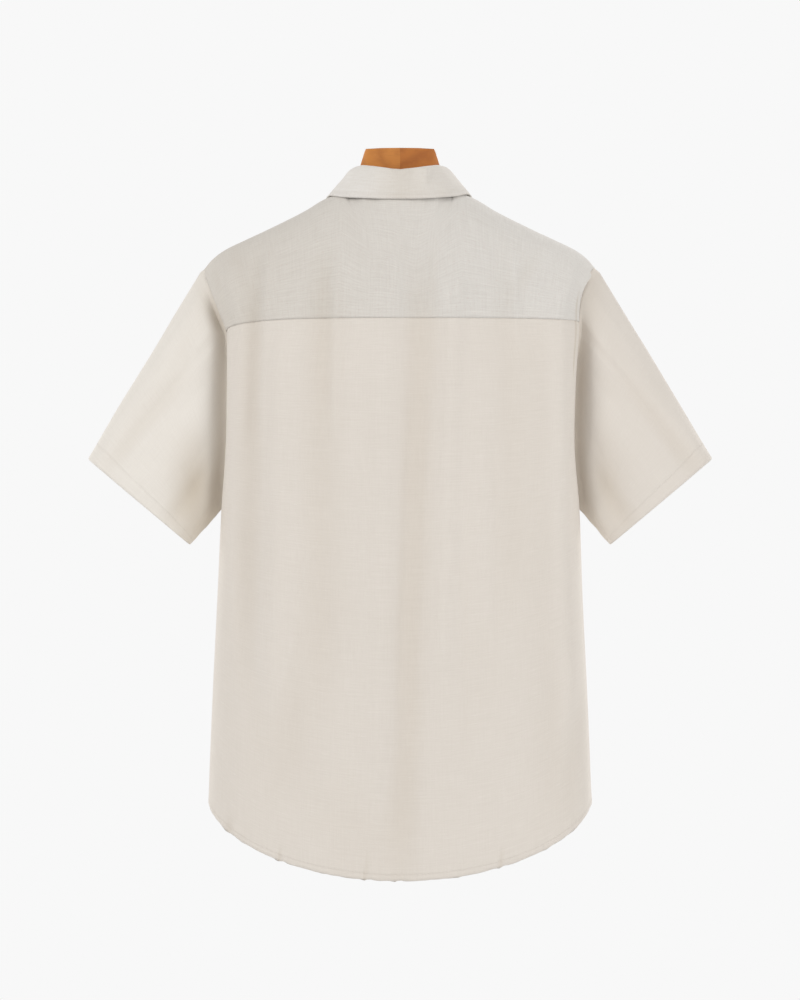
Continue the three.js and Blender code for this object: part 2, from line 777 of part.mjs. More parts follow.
function buttonSolid(drop) {
  const { radius, height, rim, sides } = button;
  const profile = [
    [0, 0], [radius - rim, 0], [radius, rim], [radius, height - rim * 0.6],
    [radius - rim, height], [radius - rim * 2.2, height - 0.5], [0, height - 0.5],
  ].map(([out, up]) => new THREE.Vector2(out, up));
  const disc = manifoldFrom(outwardSolid(solidFromGeometry(new THREE.LatheGeometry(profile, sides))));
  const holes = [];
  for (const [across, along] of [[-1, -1], [-1, 1], [1, 1], [1, -1]]) {
    const pin = new THREE.CylinderGeometry(button.hole, button.hole, 3 * height, 8);
    pin.translate(across * button.holeOffset, height / 2, along * button.holeOffset);
    holes.push(manifoldFrom(outwardSolid(solidFromGeometry(pin))));
  }
  const body = holes.reduce((kept, hole) => kept.subtract(hole), disc);
  const geometry = geometryFrom(outwardSolid(solidFromManifold(body)));
  const spot = frontSpot(0, drop);
  const lower = frontSpot(0, drop + 4);
  const down = lower.clone().sub(spot).normalize();
  const normal = new THREE.Vector3(0, -down.z, down.y).normalize();
  const turn = new THREE.Quaternion().setFromUnitVectors(new THREE.Vector3(0, 1, 0), normal);
  geometry.applyQuaternion(turn);
  const clear = clothWall / 2 + seamGap + 0.3 + placket.wall + seamGap;
  spot.addScaledVector(normal, clear);
  geometry.translate(spot.x, spot.y, spot.z);
  return geometry;
}

function hangerSolid(side) {
  const shape = new THREE.Shape();
  const outline = [...hangerTop, ...hangerUnder];
  const inset = hanger.bevel;
  const inner = seamGap / 2 + inset;
  outline.forEach((row, index) => {
    const middleX = Math.max(inner, row.across - (row.across > 30 ? inset : 0));
    const lower = index < hangerTop.length ? -inset : inset;
    const spot = new THREE.Vector2(middleX, -row.drop + lower);
    if (index === 0) {
      shape.moveTo(spot.x, spot.y);
    } else {
      shape.lineTo(spot.x, spot.y);
    }
  });
  const geometry = new THREE.ExtrudeGeometry(shape, {
    depth: 2 * (hanger.halfThick - inset),
    steps: 1,
    bevelEnabled: true,
    bevelSize: inset,
    bevelThickness: inset,
    bevelSegments: 2,
  });
  geometry.translate(0, 0, -(hanger.halfThick - inset));
  const position = geometry.getAttribute('position');
  for (let index = 0; index < position.count; index += 1) {
    const across = position.getX(index);
    const up = position.getY(index);
    const deep = position.getZ(index);
    const wider = mix(1, hanger.endHalfThick / hanger.halfThick, ease(50, 180, across));
    const bow = shoulderBow * (across / shoulderTip) ** 2;
    position.setXYZ(index, side * across, deep * wider + bow, up);
  }
  return geometryFrom(outwardSolid(solidFromGeometry(geometry)));
}

const evenWall = () => clothWall;
const hemmedWall = (row, last) => (row >= last ? hemWall : clothWall);

const yokeMesh = clothSolid(yokeGrid(), evenWall);
const backLines = backGrid();
const backMesh = clothSolid(backLines, (row) => hemmedWall(row, backLines.length - 2));
const frontLines = frontGrid();
const frontWhole = clothSolid(frontLines, (row) => hemmedWall(row, frontLines.length - 2));

const slitHeight = placket.slitEnd - 90;
const slitBox = new THREE.BoxGeometry(2 * placket.slitHalf, 60, slitHeight);
slitBox.translate(0, 55, -(90 + slitHeight / 2));
const slit = manifoldFrom(outwardSolid(solidFromGeometry(slitBox)));
const frontCut = manifoldFrom(outwardSolid(frontWhole)).subtract(slit);

const leafParts = [0, 0.12, 0.26, 0.42, 0.68, 1];
const bandLift = clothWall / 2 + seamGap + 0.3 + placket.wall / 2;

const group = new THREE.Group();
group.name = 'polo_shirt';

function addCloth(name, mesh, tone = clothTone) {
  group.add(part(name, geometryFrom(outwardSolid(mesh)), tone));
}

addCloth('back_yoke', yokeMesh);
addCloth('back_panel', backMesh);
addCloth('front_panel', solidFromManifold(frontCut));
for (const [name, side] of [['sleeve_left', -1], ['sleeve_right', 1]]) {
  const grid = sleeveGrid(side);
  addCloth(name, clothSolid(grid, (row) => hemmedWall(row, sleeveRows - 1), true), sleeveTone);
}
addCloth('collar_stand', clothSolid(collarGrid(standPoint, [0, 0.5, 1], 7.8), evenWall), collarTone);
addCloth('collar_leaf', clothSolid(collarGrid(leafPoint, leafParts, 7.75), evenWall), collarTone);
const bandWall = () => placket.wall;
const upperGrid = placketGrid(placket.half, placket.top, placket.bottom);
const underGrid = placketGrid(placket.half - 3, placket.top + 2, placket.slitEnd + 6);
const frontOut = gridNormals(upperGrid, false)[4][2].y > 0 ? 1 : -1;
addCloth('placket_upper', clothSolid(upperGrid, bandWall, false, frontOut * bandLift));
addCloth('placket_under', clothSolid(underGrid, bandWall, false, -frontOut * bandLift));
for (let index = 0; index < buttonDrops.count; index += 1) {
  const drop = buttonDrops.first + index * buttonDrops.step;
  group.add(part(`button_${index + 1}`, buttonSolid(drop), buttonTone));
}
group.add(part('hanger_half_left', hangerSolid(-1), woodTone));
group.add(part('hanger_half_right', hangerSolid(1), woodTone));

export default group;
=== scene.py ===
import math

import bmesh
import bpy
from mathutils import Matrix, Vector, noise


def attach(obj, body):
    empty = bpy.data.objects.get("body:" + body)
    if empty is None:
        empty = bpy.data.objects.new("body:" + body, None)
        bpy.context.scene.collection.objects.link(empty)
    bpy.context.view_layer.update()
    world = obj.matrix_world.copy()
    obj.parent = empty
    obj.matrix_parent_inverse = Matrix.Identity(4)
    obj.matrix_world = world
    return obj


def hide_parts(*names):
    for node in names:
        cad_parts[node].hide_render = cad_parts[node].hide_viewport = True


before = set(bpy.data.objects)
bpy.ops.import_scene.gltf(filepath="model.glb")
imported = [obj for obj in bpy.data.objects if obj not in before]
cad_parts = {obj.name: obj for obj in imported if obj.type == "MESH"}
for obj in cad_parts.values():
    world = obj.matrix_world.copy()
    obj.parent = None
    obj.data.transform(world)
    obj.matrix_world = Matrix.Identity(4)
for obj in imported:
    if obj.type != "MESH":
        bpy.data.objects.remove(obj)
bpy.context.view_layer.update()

print("frame loaded")

# Sizes are in millimetres until a point is placed. Drop is measured down from the hanger's block,
# across to the wearer's right (+X) and forward towards the wearer's front (+Y).


class Rows:
    def __init__(self, names, *rows):
        self.names = names.split()
        self.keys = [row[0] for row in rows]
        self.columns = {name: [row[place] for row in rows] for place, name in enumerate(self.names)}

    def find(self, at):
        row = 0
        while row < len(self.keys) - 2 and at > self.keys[row + 1]:
            row += 1
        low, high = self.keys[row], self.keys[row + 1]
        return row, clamp((at - low) / (high - low))

    def straight(self, at, name):
        row, part = self.find(at)
        values = self.columns[name]
        return values[row] + (values[row + 1] - values[row]) * part

    def smooth(self, at, name):
        row, part = self.find(at)
        values, keys, last = self.columns[name], self.keys, len(self.keys) - 1

        def slope(place):
            before, after = max(0, place - 1), min(last, place + 1)
            return (values[after] - values[before]) / (keys[after] - keys[before])

        span = keys[row + 1] - keys[row]
        square, cube = part * part, part ** 3
        return (values[row] * (2 * cube - 3 * square + 1) + values[row + 1] * (3 * square - 2 * cube)
                + slope(row) * span * (cube - 2 * square + part) + slope(row + 1) * span * (cube - square))


def mix(low, high, part):
    return low + (high - low) * part


def clamp(value, low=0.0, high=1.0):
    return min(high, max(low, value))


def ease(low, high, value):
    part = clamp((value - low) / (high - low))
    return part * part * (3 - 2 * part)


def hump(offset):
    return math.exp(-offset * offset) if abs(offset) < 4 else 0.0


# body form, shared by the yoke, back and front
bodyForm = {
    "tip": 213, "tipDrop": 133, "archDrop": 200, "neckHalf": 60, "bow": 12, "seamForward": 9,
    "underarm": 388, "sideHem": 708, "backHem": 792, "frontHem": 782, "hemCurve": 0.62,
    "yokeLeft": 197.6, "yokeMiddle": 183, "yokeRight": 187,
    "shape": Rows("drop left right back front",
                  (200, 187, 193.5, -50, 60), (255, 187, 189.8, -52, 62), (325, 188.3, 188.6, -53, 63),
                  (391, 193, 194, -53, 63), (489, 197.6, 197.6, -54, 62), (597, 202.8, 202.8, -55, 60),
                  (705, 207, 207, -54, 58), (800, 209, 209, -53, 56)),
    "backSide": Rows("drop turn edge tuck wrap",
                     (200, -6, -6, 0, 0), (225, -9, -1, 2, 0.08), (255, -10, 3, 4, 0.12),
                     (330, -9, 6, 5, 0.12), (388, 4, 14, 3, 0.08), (436, 12, 12, 0, 0),
                     (800, 6, 6, 0, 0)),
    "frontSide": Rows("drop turn edge tuck wrap",
                      (200, 34, 34, 0, 0), (225, 37, 33, 1, 0.06), (255, 38, 32, 2, 0.08),
                      (330, 34, 26, 2.4, 0.08), (388, 22, 14, 3, 0.08), (436, 12, 12, 0, 0),
                      (800, 6, 6, 0, 0)),
    "armhole": Rows("drop back front",
                    (133, 12, 12), (138, 5, 19), (151, -4, 27), (176, -9, 33), (200, -6, 34)),
    "ridge": Rows("across back front",
                  (0, 5, 20), (20, 9, 24), (40, 27, 34), (60, 46, 46), (84, 57.2, 57.2), (101.5, 68, 68),
                  (122.5, 78.8, 78.8), (144.7, 89.6, 89.6), (168, 100.4, 100.4), (190, 111.2, 111.2),
                  (203.5, 121.5, 121.5), (213, 133, 133)),
    # across, drift, width, depth inward, top, end
    "backFolds": (
        (-192, -6, 11, -3.4, 215, 520), (-157, -10, 14, 5.4, 165, 560), (-128, -12, 15, -4.2, 200, 640),
        (-80, -8, 20, 4.2, 130, 600), (-17, -6, 17, -4.4, 160, 700), (25, -24, 17, 6.2, 150, 790),
        (58, -14, 12, -4.4, 150, 600), (116, 6, 18, 2.4, 120, 520), (176, 8, 11, -3.4, 190, 600),
        (150, 6, 16, 1.4, 190, 560), (-130, 0, 34, 3.0, 560, 700), (-48, 4, 40, 2.8, 690, 800),
        (168, -4, 22, 2.6, 560, 740)),
    "backCreases": (
        (-143, -9, 5, -1.9, 105, 330), (-153, -8, 7, 2.0, 105, 340), (-70, -2, 4.5, -1.7, 118, 320),
        (-81, -4, 8, 1.5, 118, 320), (-14.5, 2, 3.2, 1.5, 112, 182), (-3.5, 1, 5, -1.4, 112, 182),
        (37, -2, 5, 1.4, 100, 182), (56, -2, 5, 1.4, 100, 182), (154, -46, 9, 2.6, 105, 185),
        (124, 2, 4, -2.0, 110, 215), (198, -28, 8, -2.8, 118, 190), (-192, 19, 7, -2.8, 125, 200),
        (-184, 22, 6, 2.0, 100, 165), (-200, 14, 4, 1.8, 125, 190), (194, -14, 9, -1.8, 520, 650),
        (196, -14, 10, 1.8, 580, 740), (-108, -6, 6, 0.8, 420, 690), (66, 6, 6, 0.8, 400, 700),
        (-40, -6, 6, -0.9, 330, 620), (100, 6, 6, 0.7, 300, 560), (12, -14, 4, 0.7, 260, 620),
        (34, -16, 4, -0.7, 260, 620), (-57, -2, 6, -1.0, 110, 180), (80, 4, 7, -1.0, 100, 180)),
    "frontFolds": (
        (-176, 8, 11, 3.4, 190, 560), (-140, -12, 14, -5.0, 180, 640), (-96, -6, 15, 5.4, 150, 600),
        (-52, 0, 14, -4.2, 300, 760), (46, 5, 16, 5.4, 320, 770), (92, 8, 14, -4.8, 150, 640),
        (142, 10, 13, 4.2, 170, 560), (186, 6, 11, -3.0, 215, 520)),
    "frontCreases": (
        (-70, 4, 5, 0.8, 140, 330), (66, -4, 5, 0.8, 140, 330), (-118, -6, 5, 0.6, 260, 520),
        (112, 6, 5, 0.6, 260, 560), (-30, -2, 4, -0.5, 420, 720), (26, 4, 4, 0.6, 400, 700)),
}


def sideways(column):
    return math.sin(math.pi / 2 * min(1.0, column) ** 1.25) ** 0.8


def inward(column):
    return max(0.0, math.cos(math.pi / 2 * min(1.0, column) ** 1.25)) ** 0.8


def foldAt(face, across, drop):
    depth = 0.0
    for far, drift, width, deep, top, end in bodyForm[face + "Folds"]:
        down = clamp((drop - top) / (end - top))
        along = ease(top - 50, top + 50, drop) * (1 - ease(end - 90, end + 60, drop))
        depth += deep * along * hump((across - far - drift * down) / width)
    for far, drift, width, deep, top, end in bodyForm[face + "Creases"]:
        down = clamp((drop - top) / (end - top))
        along = ease(top - 12, top + 30, drop) * (1 - ease(end - 60, end + 10, drop))
        depth += deep * along * hump((across - far - drift * down) / width)
    grain = Vector((across / 55, drop / 190, 3.0 if face == "back" else 9.0))
    depth += 1.1 * noise.noise(grain) + 0.35 * noise.noise(grain * 3.1)
    return depth if face == "back" else -depth


def bodyPoint(face, column, drop):
    side = bodyForm[face + "Side"]
    shape = bodyForm["shape"]
    half = shape.smooth(drop, "left" if column < 0 else "right")
    deep = shape.smooth(drop, face)
    turn, edge = side.straight(drop, "turn"), side.straight(drop, "edge")
    tuck, wrap = side.straight(drop, "tuck"), side.straight(drop, "wrap")
    reach = abs(column) * (1 + wrap)
    if reach > 1 and wrap > 0:
        past = (reach - 1) / wrap
        across, forward = half - tuck * past * past, mix(turn, edge, past)
    else:
        across, forward = half * sideways(reach), turn + (deep - turn) * inward(reach)
    signed = math.copysign(across, column)
    calm = 1 - min(1.0, abs(column)) ** 10
    return Vector((signed, forward + foldAt(face, signed, drop) * calm, -drop))


def ridgeAcross(column):
    neckEdge = sideways(0.25)
    here = sideways(abs(column))
    if here <= neckEdge:
        return bodyForm["neckHalf"] * here / neckEdge
    return mix(bodyForm["neckHalf"], bodyForm["tip"], (here - neckEdge) / (1 - neckEdge))


def archPoint(face, column, turn):
    level, spread = math.cos(turn * math.pi / 2), math.sin(turn * math.pi / 2)
    top = ridgeAcross(column)
    ridgeDrop = bodyForm["ridge"].smooth(top, face)
    drop = mix(bodyForm["archDrop"], ridgeDrop, level)
    base = bodyPoint(face, column, bodyForm["archDrop"])
    calm = 1 - min(1.0, abs(column)) ** 10
    baseFold = foldAt(face, base.x, bodyForm["archDrop"]) * calm
    power = 1 + 3 * abs(column) ** 6 if column > 0 else 1
    across = mix(base.x, math.copysign(top, column), level ** power)
    ridgeForward = bodyForm["bow"] * (top / bodyForm["tip"]) ** 2
    forward = mix(ridgeForward, base.y - baseFold, spread)
    edgeForward = bodyForm["armhole"].smooth(max(drop, bodyForm["tipDrop"]), face)
    forward += (edgeForward - forward) * abs(column) ** 12 * (1 - ease(185, bodyForm["archDrop"], drop))
    return Vector((across, forward + foldAt(face, across, drop) * calm * spread, -drop))


def turnAtDrop(face, column, drop):
    ridgeDrop = bodyForm["ridge"].smooth(ridgeAcross(column), face)
    low = bodyForm["archDrop"]
    return math.acos(clamp((low - drop) / (low - ridgeDrop))) * 2 / math.pi


def turnAtForward(column, forward):
    ridgeForward = bodyForm["bow"] * (ridgeAcross(column) / bodyForm["tip"]) ** 2
    face = "front" if forward > ridgeForward else "back"
    base = bodyPoint(face, column, bodyForm["archDrop"])
    part = clamp((forward - ridgeForward) / (base.y - ridgeForward))
    return (-1 if face == "front" else 1) * math.asin(part) * 2 / math.pi


def bodySpot(face, column, drop):
    if drop < bodyForm["archDrop"]:
        return archPoint(face, column, turnAtDrop(face, column, drop))
    return bodyPoint(face, column, drop)


def yokeSeamAt(column):
    end = bodyForm["yokeLeft"] if column < 0 else bodyForm["yokeRight"]
    return mix(bodyForm["yokeMiddle"], end, abs(column) ** 3)


def seamForward(column):
    part = ridgeAcross(column) / bodyForm["tip"]
    return bodyForm["bow"] * part ** 2 + bodyForm["seamForward"] * (1 - part ** 6)


def hemAt(face, column):
    out = clamp(sideways(abs(column)))
    return mix(bodyForm[face + "Hem"], bodyForm["sideHem"], 1 - (1 - out * out) ** bodyForm["hemCurve"])


# collar lines, from the middle of the back (0) to the middle of the front (8)
collarForm = {
    "neck": Rows("at across forward drop",
                 (0, 0, -31, 52), (1, 20, -29.5, 51.7), (2, 39, -24, 50.6), (3, 54, -10, 49.2),
                 (4, 60, 9, 47.8), (5, 45, 35, 71), (6, 30, 46, 92), (7, 15, 51, 105), (8, 0, 52, 110)),
    "fold": Rows("at across forward drop",
                 (0, 0, -33, 23.8), (1, 15, -31.5, 22), (2, 30, -26, 19.8), (3, 40.5, -14.5, 19),
                 (4, 48, 8, 24), (5, 44, 33.5, 46), (6, 33, 46, 64), (7, 18, 53, 77), (8, 3, 55, 83)),
    "edge": Rows("at across forward drop",
                 (0, 0, -34.6, 56), (1, 22, -33.6, 55.8), (2, 44, -27.4, 54.8), (3, 62.5, -16.5, 53.8),
                 (4, 76.5, 2, 52), (5, 80, 26, 61), (6, 75, 45, 85), (7, 67, 54, 108), (8, 55, 60, 131)),
    # across, part, width, height, depth
    "dents": ((-9, 0.5, 4.2, 0.2, 2.2), (-17, 0.5, 6, 0.16, 1.6), (-27, 0.6, 9, 0.2, -1.4),
              (1, 0.5, 8, 0.2, -2.0), (27, 0.58, 4.0, 0.22, -4.4), (36, 0.6, 6, 0.22, 1.2),
              (-46, 0.6, 8, 0.3, 1.2), (8, 0.85, 16, 0.12, 0.8), (14, 0.6, 5, 0.2, 1.2)),
    "lastStation": 7.8,  # where both strips end, just short of the middle of the front
    "standSteps": (220, 16), "standWall": 1.0, "standHalf": 190, "standLength": 30,
    "leafSteps": (260, 48), "leafWall": 1.4, "leafHalf": 230, "leafLength": 48, "leafEdge": 46,
    "standLinen": {"colour": (222, 218, 212), "fleckAmount": 0.2},
    "leafLinen": {"colour": (234, 232, 229), "fleckAmount": 0.2, "stitches": (2.2,), "stitchTone": 0.04,
                  "hasPaintedShade": True},
}


def linePoint(name, side, station, curved=True):
    rows = collarForm[name]
    read = rows.smooth if curved else rows.straight
    return Vector((side * read(station, "across"), read(station, "forward"), -read(station, "drop")))


def neckPoint(side, station):
    return linePoint("neck", side, station, False)


def outOfNeck(side, station):
    along = linePoint("fold", side, min(8, station + 0.2)) - linePoint("fold", side, max(0, station - 0.2))
    return Vector((along.y, -along.x, 0)).normalized() * side


# A point of a cloth piece is found from its column, -1 to 1 from left to right or once round a sleeve, and
# its part, 0 to 1 from its upper edge to its lower one, or on the yoke from the back seam to the front.
farFromEdge = 90  # on a turned hem the edge map holds this distance, so that no stitch falls there


def acrossAndAlong(half, length):
    return lambda column, part: (column * half, part * length)


# a grid is moved into place, then gets its maps of the weave, the edge and the painted shade, and its wall
def sheetFrom(name, steps, place, outward, *, flatAt, edgeAt, wall, lift=None, paintedShadeAt=None, closed=False):
    wide, high = [detail(count) for count in steps]
    shell = bmesh.new()
    bmesh.ops.create_grid(shell, x_segments=wide, y_segments=high, size=1)
    weave = shell.loops.layers.uv.new("weave")
    edge = shell.loops.layers.uv.new("edge")
    spots = {}
    for vert in shell.verts:
        spots[vert] = (vert.co.x, (1 - vert.co.y) / 2)
    for face in shell.faces:
        face.smooth = True
        for loop in face.loops:
            column, part = spots[loop.vert]
            flat, near = flatAt(column, part), edgeAt(column, part)
            loop[weave].uv = (flat[0] / 1000, flat[1] / 1000)
            loop[edge].uv = (near[0] / 1000, near[1] / 1000)
    for vert in shell.verts:
        vert.co = place(*spots[vert]) / 1000
    # painted shade: each vertex gets the amount by which its colour is darkened towards the shade colour
    if paintedShadeAt:
        paintedShade = shell.loops.layers.uv.new("paintedShade")
        shadeAmounts = {vert: clamp(paintedShadeAt(*spots[vert], vert.co * 1000)) for vert in shell.verts}
        for face in shell.faces:
            for loop in face.loops:
                loop[paintedShade].uv = (shadeAmounts[loop.vert], 0)
    shell.normal_update()
    facing = sum(face.normal.dot(outward(face.calc_center_median() * 1000)) for face in shell.faces)
    if facing < 0:
        bmesh.ops.reverse_faces(shell, faces=shell.faces)
        shell.normal_update()
    if lift:
        shifts = {vert: vert.normal * lift(*spots[vert]) / 1000 for vert in shell.verts}
        for vert, shift in shifts.items():
            vert.co += shift
    if closed:
        bmesh.ops.remove_doubles(shell, verts=shell.verts, dist=2e-5)
    mesh = bpy.data.meshes.new(name)
    shell.to_mesh(mesh)
    shell.free()
    piece = bpy.data.objects.new(name, mesh)
    bpy.context.scene.collection.objects.link(piece)
    thick = piece.modifiers.new("wall", "SOLIDIFY")
    thick.thickness = wall / 1000
    thick.offset = 0
    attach(piece, "root")
    return piece


def detail(count):
    return count // 2 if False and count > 20 else count


# shader helper: a socket that can be added, multiplied and compared
class Socket:
    def __init__(self, tree, link):
        self.tree, self.link = tree, link

    def math(self, operation, *values):
        node = self.tree.nodes.new("ShaderNodeMath")
        node.operation = operation
        for place, value in enumerate((self,) + values):
            if isinstance(value, Socket):
                self.tree.links.new(value.link, node.inputs[place])
            else:
                node.inputs[place].default_value = value
        return Socket(self.tree, node.outputs[0])

    def __add__(self, other):
        return self.math("ADD", other)

    __radd__ = __add__

    def __sub__(self, other):
        return self.math("SUBTRACT", other)

    def __rsub__(self, other):
        return self.math("MULTIPLY", -1.0).math("ADD", other)

    def __mul__(self, other):
        return self.math("MULTIPLY", other)

    __rmul__ = __mul__

    def __truediv__(self, other):
        return self.math("DIVIDE", other)

    def near(self, centre, width):
        away = (self - centre).math("ABSOLUTE") / width
        return (1.0 - away).math("MAXIMUM", 0.0)

    def above(self, low, high):
        return ((self - low) / (high - low)).math("MAXIMUM", 0.0).math("MINIMUM", 1.0)

    def sine(self):
        return self.math("SINE")


class Shader:
    def __init__(self, name):
        self.material = bpy.data.materials.new(name)
        self.material.use_nodes = True
        self.tree = self.material.node_tree
        self.surface = self.tree.nodes["Principled BSDF"]

    def node(self, kind, settings=None, output=0, **sockets):
        made = self.tree.nodes.new(kind)
        for key, value in (settings or {}).items():
            setattr(made, key, value)
        for key, value in sockets.items():
            slot = made.inputs[int(key[5:]) if key.startswith("input") else key]
            if isinstance(value, Socket):
                self.tree.links.new(value.link, slot)
            else:
                slot.default_value = value
        return Socket(self.tree, made.outputs[output])

    def noise(self, where, size=1.0, detail=2.0, roughness=0.5):
        return self.node("ShaderNodeTexNoise", {"noise_dimensions": "3D"}, 0,
                         Vector=where, Scale=size, Detail=detail, Roughness=roughness)

    def scaled(self, where, scale, place=(0, 0, 0), turn=(0, 0, 0)):
        return self.node("ShaderNodeMapping", None, 0,
                         Vector=where, Location=place, Rotation=turn, Scale=scale)

    def blend(self, part, low, high):
        low, high = [tone if isinstance(tone, Socket) else (*tone, 1) for tone in (low, high)]
        return self.node("ShaderNodeMix", {"data_type": "RGBA"}, 2, input0=part, input6=low, input7=high)

    def split(self, where):
        first = self.node("ShaderNodeSeparateXYZ", None, 0, Vector=where)
        return [Socket(self.tree, out) for out in first.link.node.outputs]

    def feed(self, name, value):
        if isinstance(value, Socket):
            self.tree.links.new(value.link, self.surface.inputs[name])
        else:
            self.surface.inputs[name].default_value = value

    def bump(self, height, strength, distance):
        return self.node("ShaderNodeBump", None, 0, Strength=strength, Distance=distance, Height=height)


def linear(red, green, blue):
    def one(value):
        value /= 255
        return value / 12.92 if value <= 0.04045 else ((value + 0.055) / 1.055) ** 2.4
    return one(red), one(green), one(blue)


linenFinish = {
    "colour": (229, 223, 216), "thread": (212, 205, 196), "pale": (240, 236, 231), "fleck": (208, 190, 186),
    # shade is the colour of the painted shade that a piece's map of painted shade mixes in
    "shade": (176, 158, 130), "seam": (188, 175, 158), "slub": 0.5,
    "roughness": 0.88, "sheen": 0.25, "bump": 0.3,
    # distances of the stitched lines from the edge, the darkening along them and one stitch with its gap
    "stitches": (), "stitchTone": 0.12, "stitchGap": 2.8,
    "hasPaintedShade": False,  # whether the piece has a map of its shaded hollows
}


def linen(name, changes):
    look = {**linenFinish, **changes}
    shade = Shader(name)
    weave = shade.node("ShaderNodeUVMap", {"uv_map": "weave"})
    edge = shade.node("ShaderNodeUVMap", {"uv_map": "edge"})
    weft = shade.noise(shade.scaled(weave, (38, 760, 1)), 1.0, 3.0, 0.6)
    warp = shade.noise(shade.scaled(weave, (820, 30, 1), (3, 7, 0)), 1.0, 3.0, 0.6)
    knots = shade.noise(shade.scaled(weave, (90, 900, 1), (11, 2, 0)), 1.0, 2.0, 0.5).above(0.6, 0.8)
    cloud = shade.noise(shade.scaled(weave, (9, 7, 1), (5, 5, 0)), 1.0, 2.0, 0.5)
    specks = shade.noise(shade.scaled(weave, (420, 640, 1), (1, 9, 0)), 1.0, 2.0, 0.6).above(0.55, 0.75)
    slubs = (weft.above(0.3, 0.75) * 0.6 + warp.above(0.3, 0.75) * 0.4) * look["slub"]
    tone = shade.blend(slubs, linear(*look["colour"]), linear(*look["thread"]))
    tone = shade.blend(knots * 0.35, tone, linear(*look["pale"]))
    tone = shade.blend(specks * look["fleckAmount"], tone, linear(*look["fleck"]))
    tone = shade.blend(cloud.above(0.35, 0.7) * 0.1, tone, linear(*look["thread"]))
    height = weft * 0.5 + warp * 0.4 + knots * 0.35
    along, off, _ = shade.split(edge)
    for distance in look["stitches"]:
        dashes = (along * (2 * math.pi * 1000 / look["stitchGap"])).sine().above(-0.3, 0.4)
        groove = off.near(distance / 1000, 0.0013)
        thread = off.near(distance / 1000, 0.0005) * dashes
        height = height - groove * 2.4 + thread * 2.2
        tone = shade.blend(groove * look["stitchTone"], tone, linear(*look["seam"]))
    # painted shade: where the piece's map asks for it, the colour is darkened towards the shade colour
    if look["hasPaintedShade"]:
        deep = shade.split(shade.node("ShaderNodeUVMap", {"uv_map": "paintedShade"}))[0]
        tone = shade.blend(deep, tone, linear(*look["shade"]))
    shade.feed("Base Color", tone)
    shade.feed("Roughness", look["roughness"])
    shade.feed("Sheen Weight", look["sheen"])
    shade.feed("Sheen Roughness", 0.5)
    shade.feed("Specular IOR Level", 0.2)
    shade.feed("Normal", shade.bump(height, look["bump"], 0.0006))
    return shade.material


def dress(piece, material):
    piece.data.materials.clear()
    piece.data.materials.append(material)


# back yoke
yokeLook = {
    "steps": (220, 70), "wall": 0.9, "half": 205, "length": 170, "edgeLength": 165,
    "lap": 1.6,  # how far it reaches over the back panel's top edge
    "leftPaintedShade": 0.19,  # shade at its left end, which fades towards the right
    "linen": {"colour": (230, 228, 224), "thread": (194, 189, 184), "slub": 0.55, "fleckAmount": 0.34,
              "hasPaintedShade": True},
}


def yokePlace(column, part):
    across = ridgeAcross(column)
    atNeck = across <= bodyForm["neckHalf"] + 0.01
    station = 4 * across / bodyForm["neckHalf"]
    start = turnAtDrop("back", column, yokeSeamAt(column) + yokeLook["lap"])
    forward = collarForm["neck"].straight(station, "forward") if atNeck else seamForward(column)
    end = turnAtForward(column, forward + (0 if atNeck else 1.2 * (1 - abs(column) ** 6)))
    turn = mix(start, end, part)
    spot = archPoint("back", column, turn) if turn >= 0 else archPoint("front", column, -turn)
    if atNeck:
        last = archPoint("back", column, end) if end >= 0 else archPoint("front", column, -end)
        spot += (neckPoint(math.copysign(1, column), station) - last) * ease(0.35, 1, part)
    return spot


def yokeLift(column, part):
    pucker = 0.35 * noise.noise(Vector((column * 42, part * 3, 1))) * ease(0.3, 0, part)
    return 0.2 * ease(0.08, 0.0, part) + pucker


# painted shade on the yoke: the back's painted fold shade, plus painted shade at its left end fading towards
# the right
def yokePaintedShade(column, part, spot):
    return backPaintedShade(column, part, spot) + yokeLook["leftPaintedShade"] * clamp((108 - spot.x) / 281)


def buildYoke():
    piece = sheetFrom("yoke", yokeLook["steps"], yokePlace, lambda spot: Vector((0, spot.y - 12, 30)),
                      flatAt=acrossAndAlong(yokeLook["half"], yokeLook["length"]),
                      edgeAt=acrossAndAlong(yokeLook["half"], yokeLook["edgeLength"]),
                      wall=yokeLook["wall"], lift=yokeLift, paintedShadeAt=yokePaintedShade)
    dress(piece, linen("yokeLinen", yokeLook["linen"]))
    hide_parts("back_yoke")
    return piece


# back panel
panelLinen = {"fleckAmount": 0.1, "stitches": (6.5,), "stitchTone": 0.07, "hasPaintedShade": True}
tailHem = {"deep": 8.0, "inset": 1.1, "bend": 0.12}  # depth, distance inside, share of its rows in the bend
backLook = {
    "steps": (218, 218), "wall": 0.8, "half": 215,
    "under": 3.0,  # how far it reaches up under the yoke
    "fold": 0.965,  # the part at which the hem turns up inside
    # across, width, depth, height of the short creases that start at the hem
    "puckers": ((-132, 2.2, 1.8, 12), (-125, 2.6, -1.4, 10), (-39, 2.0, 1.6, 22), (-33, 2.4, -1.0, 16),
                (0, 3, -1.6, 13), (-6, 2.4, 1.2, 12), (107, 2.4, 1.6, 16), (113, 3, -1.0, 12),
                (-187, 4, 1.6, 14), (-180, 4, -1.2, 12), (158, 4, 1.2, 12), (188, 4, 1.2, 14),
                (62, 3, 0.8, 10), (-84, 3, 0.9, 12)),
    # how far the puckers drift, then the amounts of painted shade beside the puckers, in the fold troughs
    # and along the right armhole
    "puckerDrift": 0.12, "puckerPaintedShade": 0.09,
    "foldPaintedShade": 0.022, "armholePaintedShade": 0.3,
}


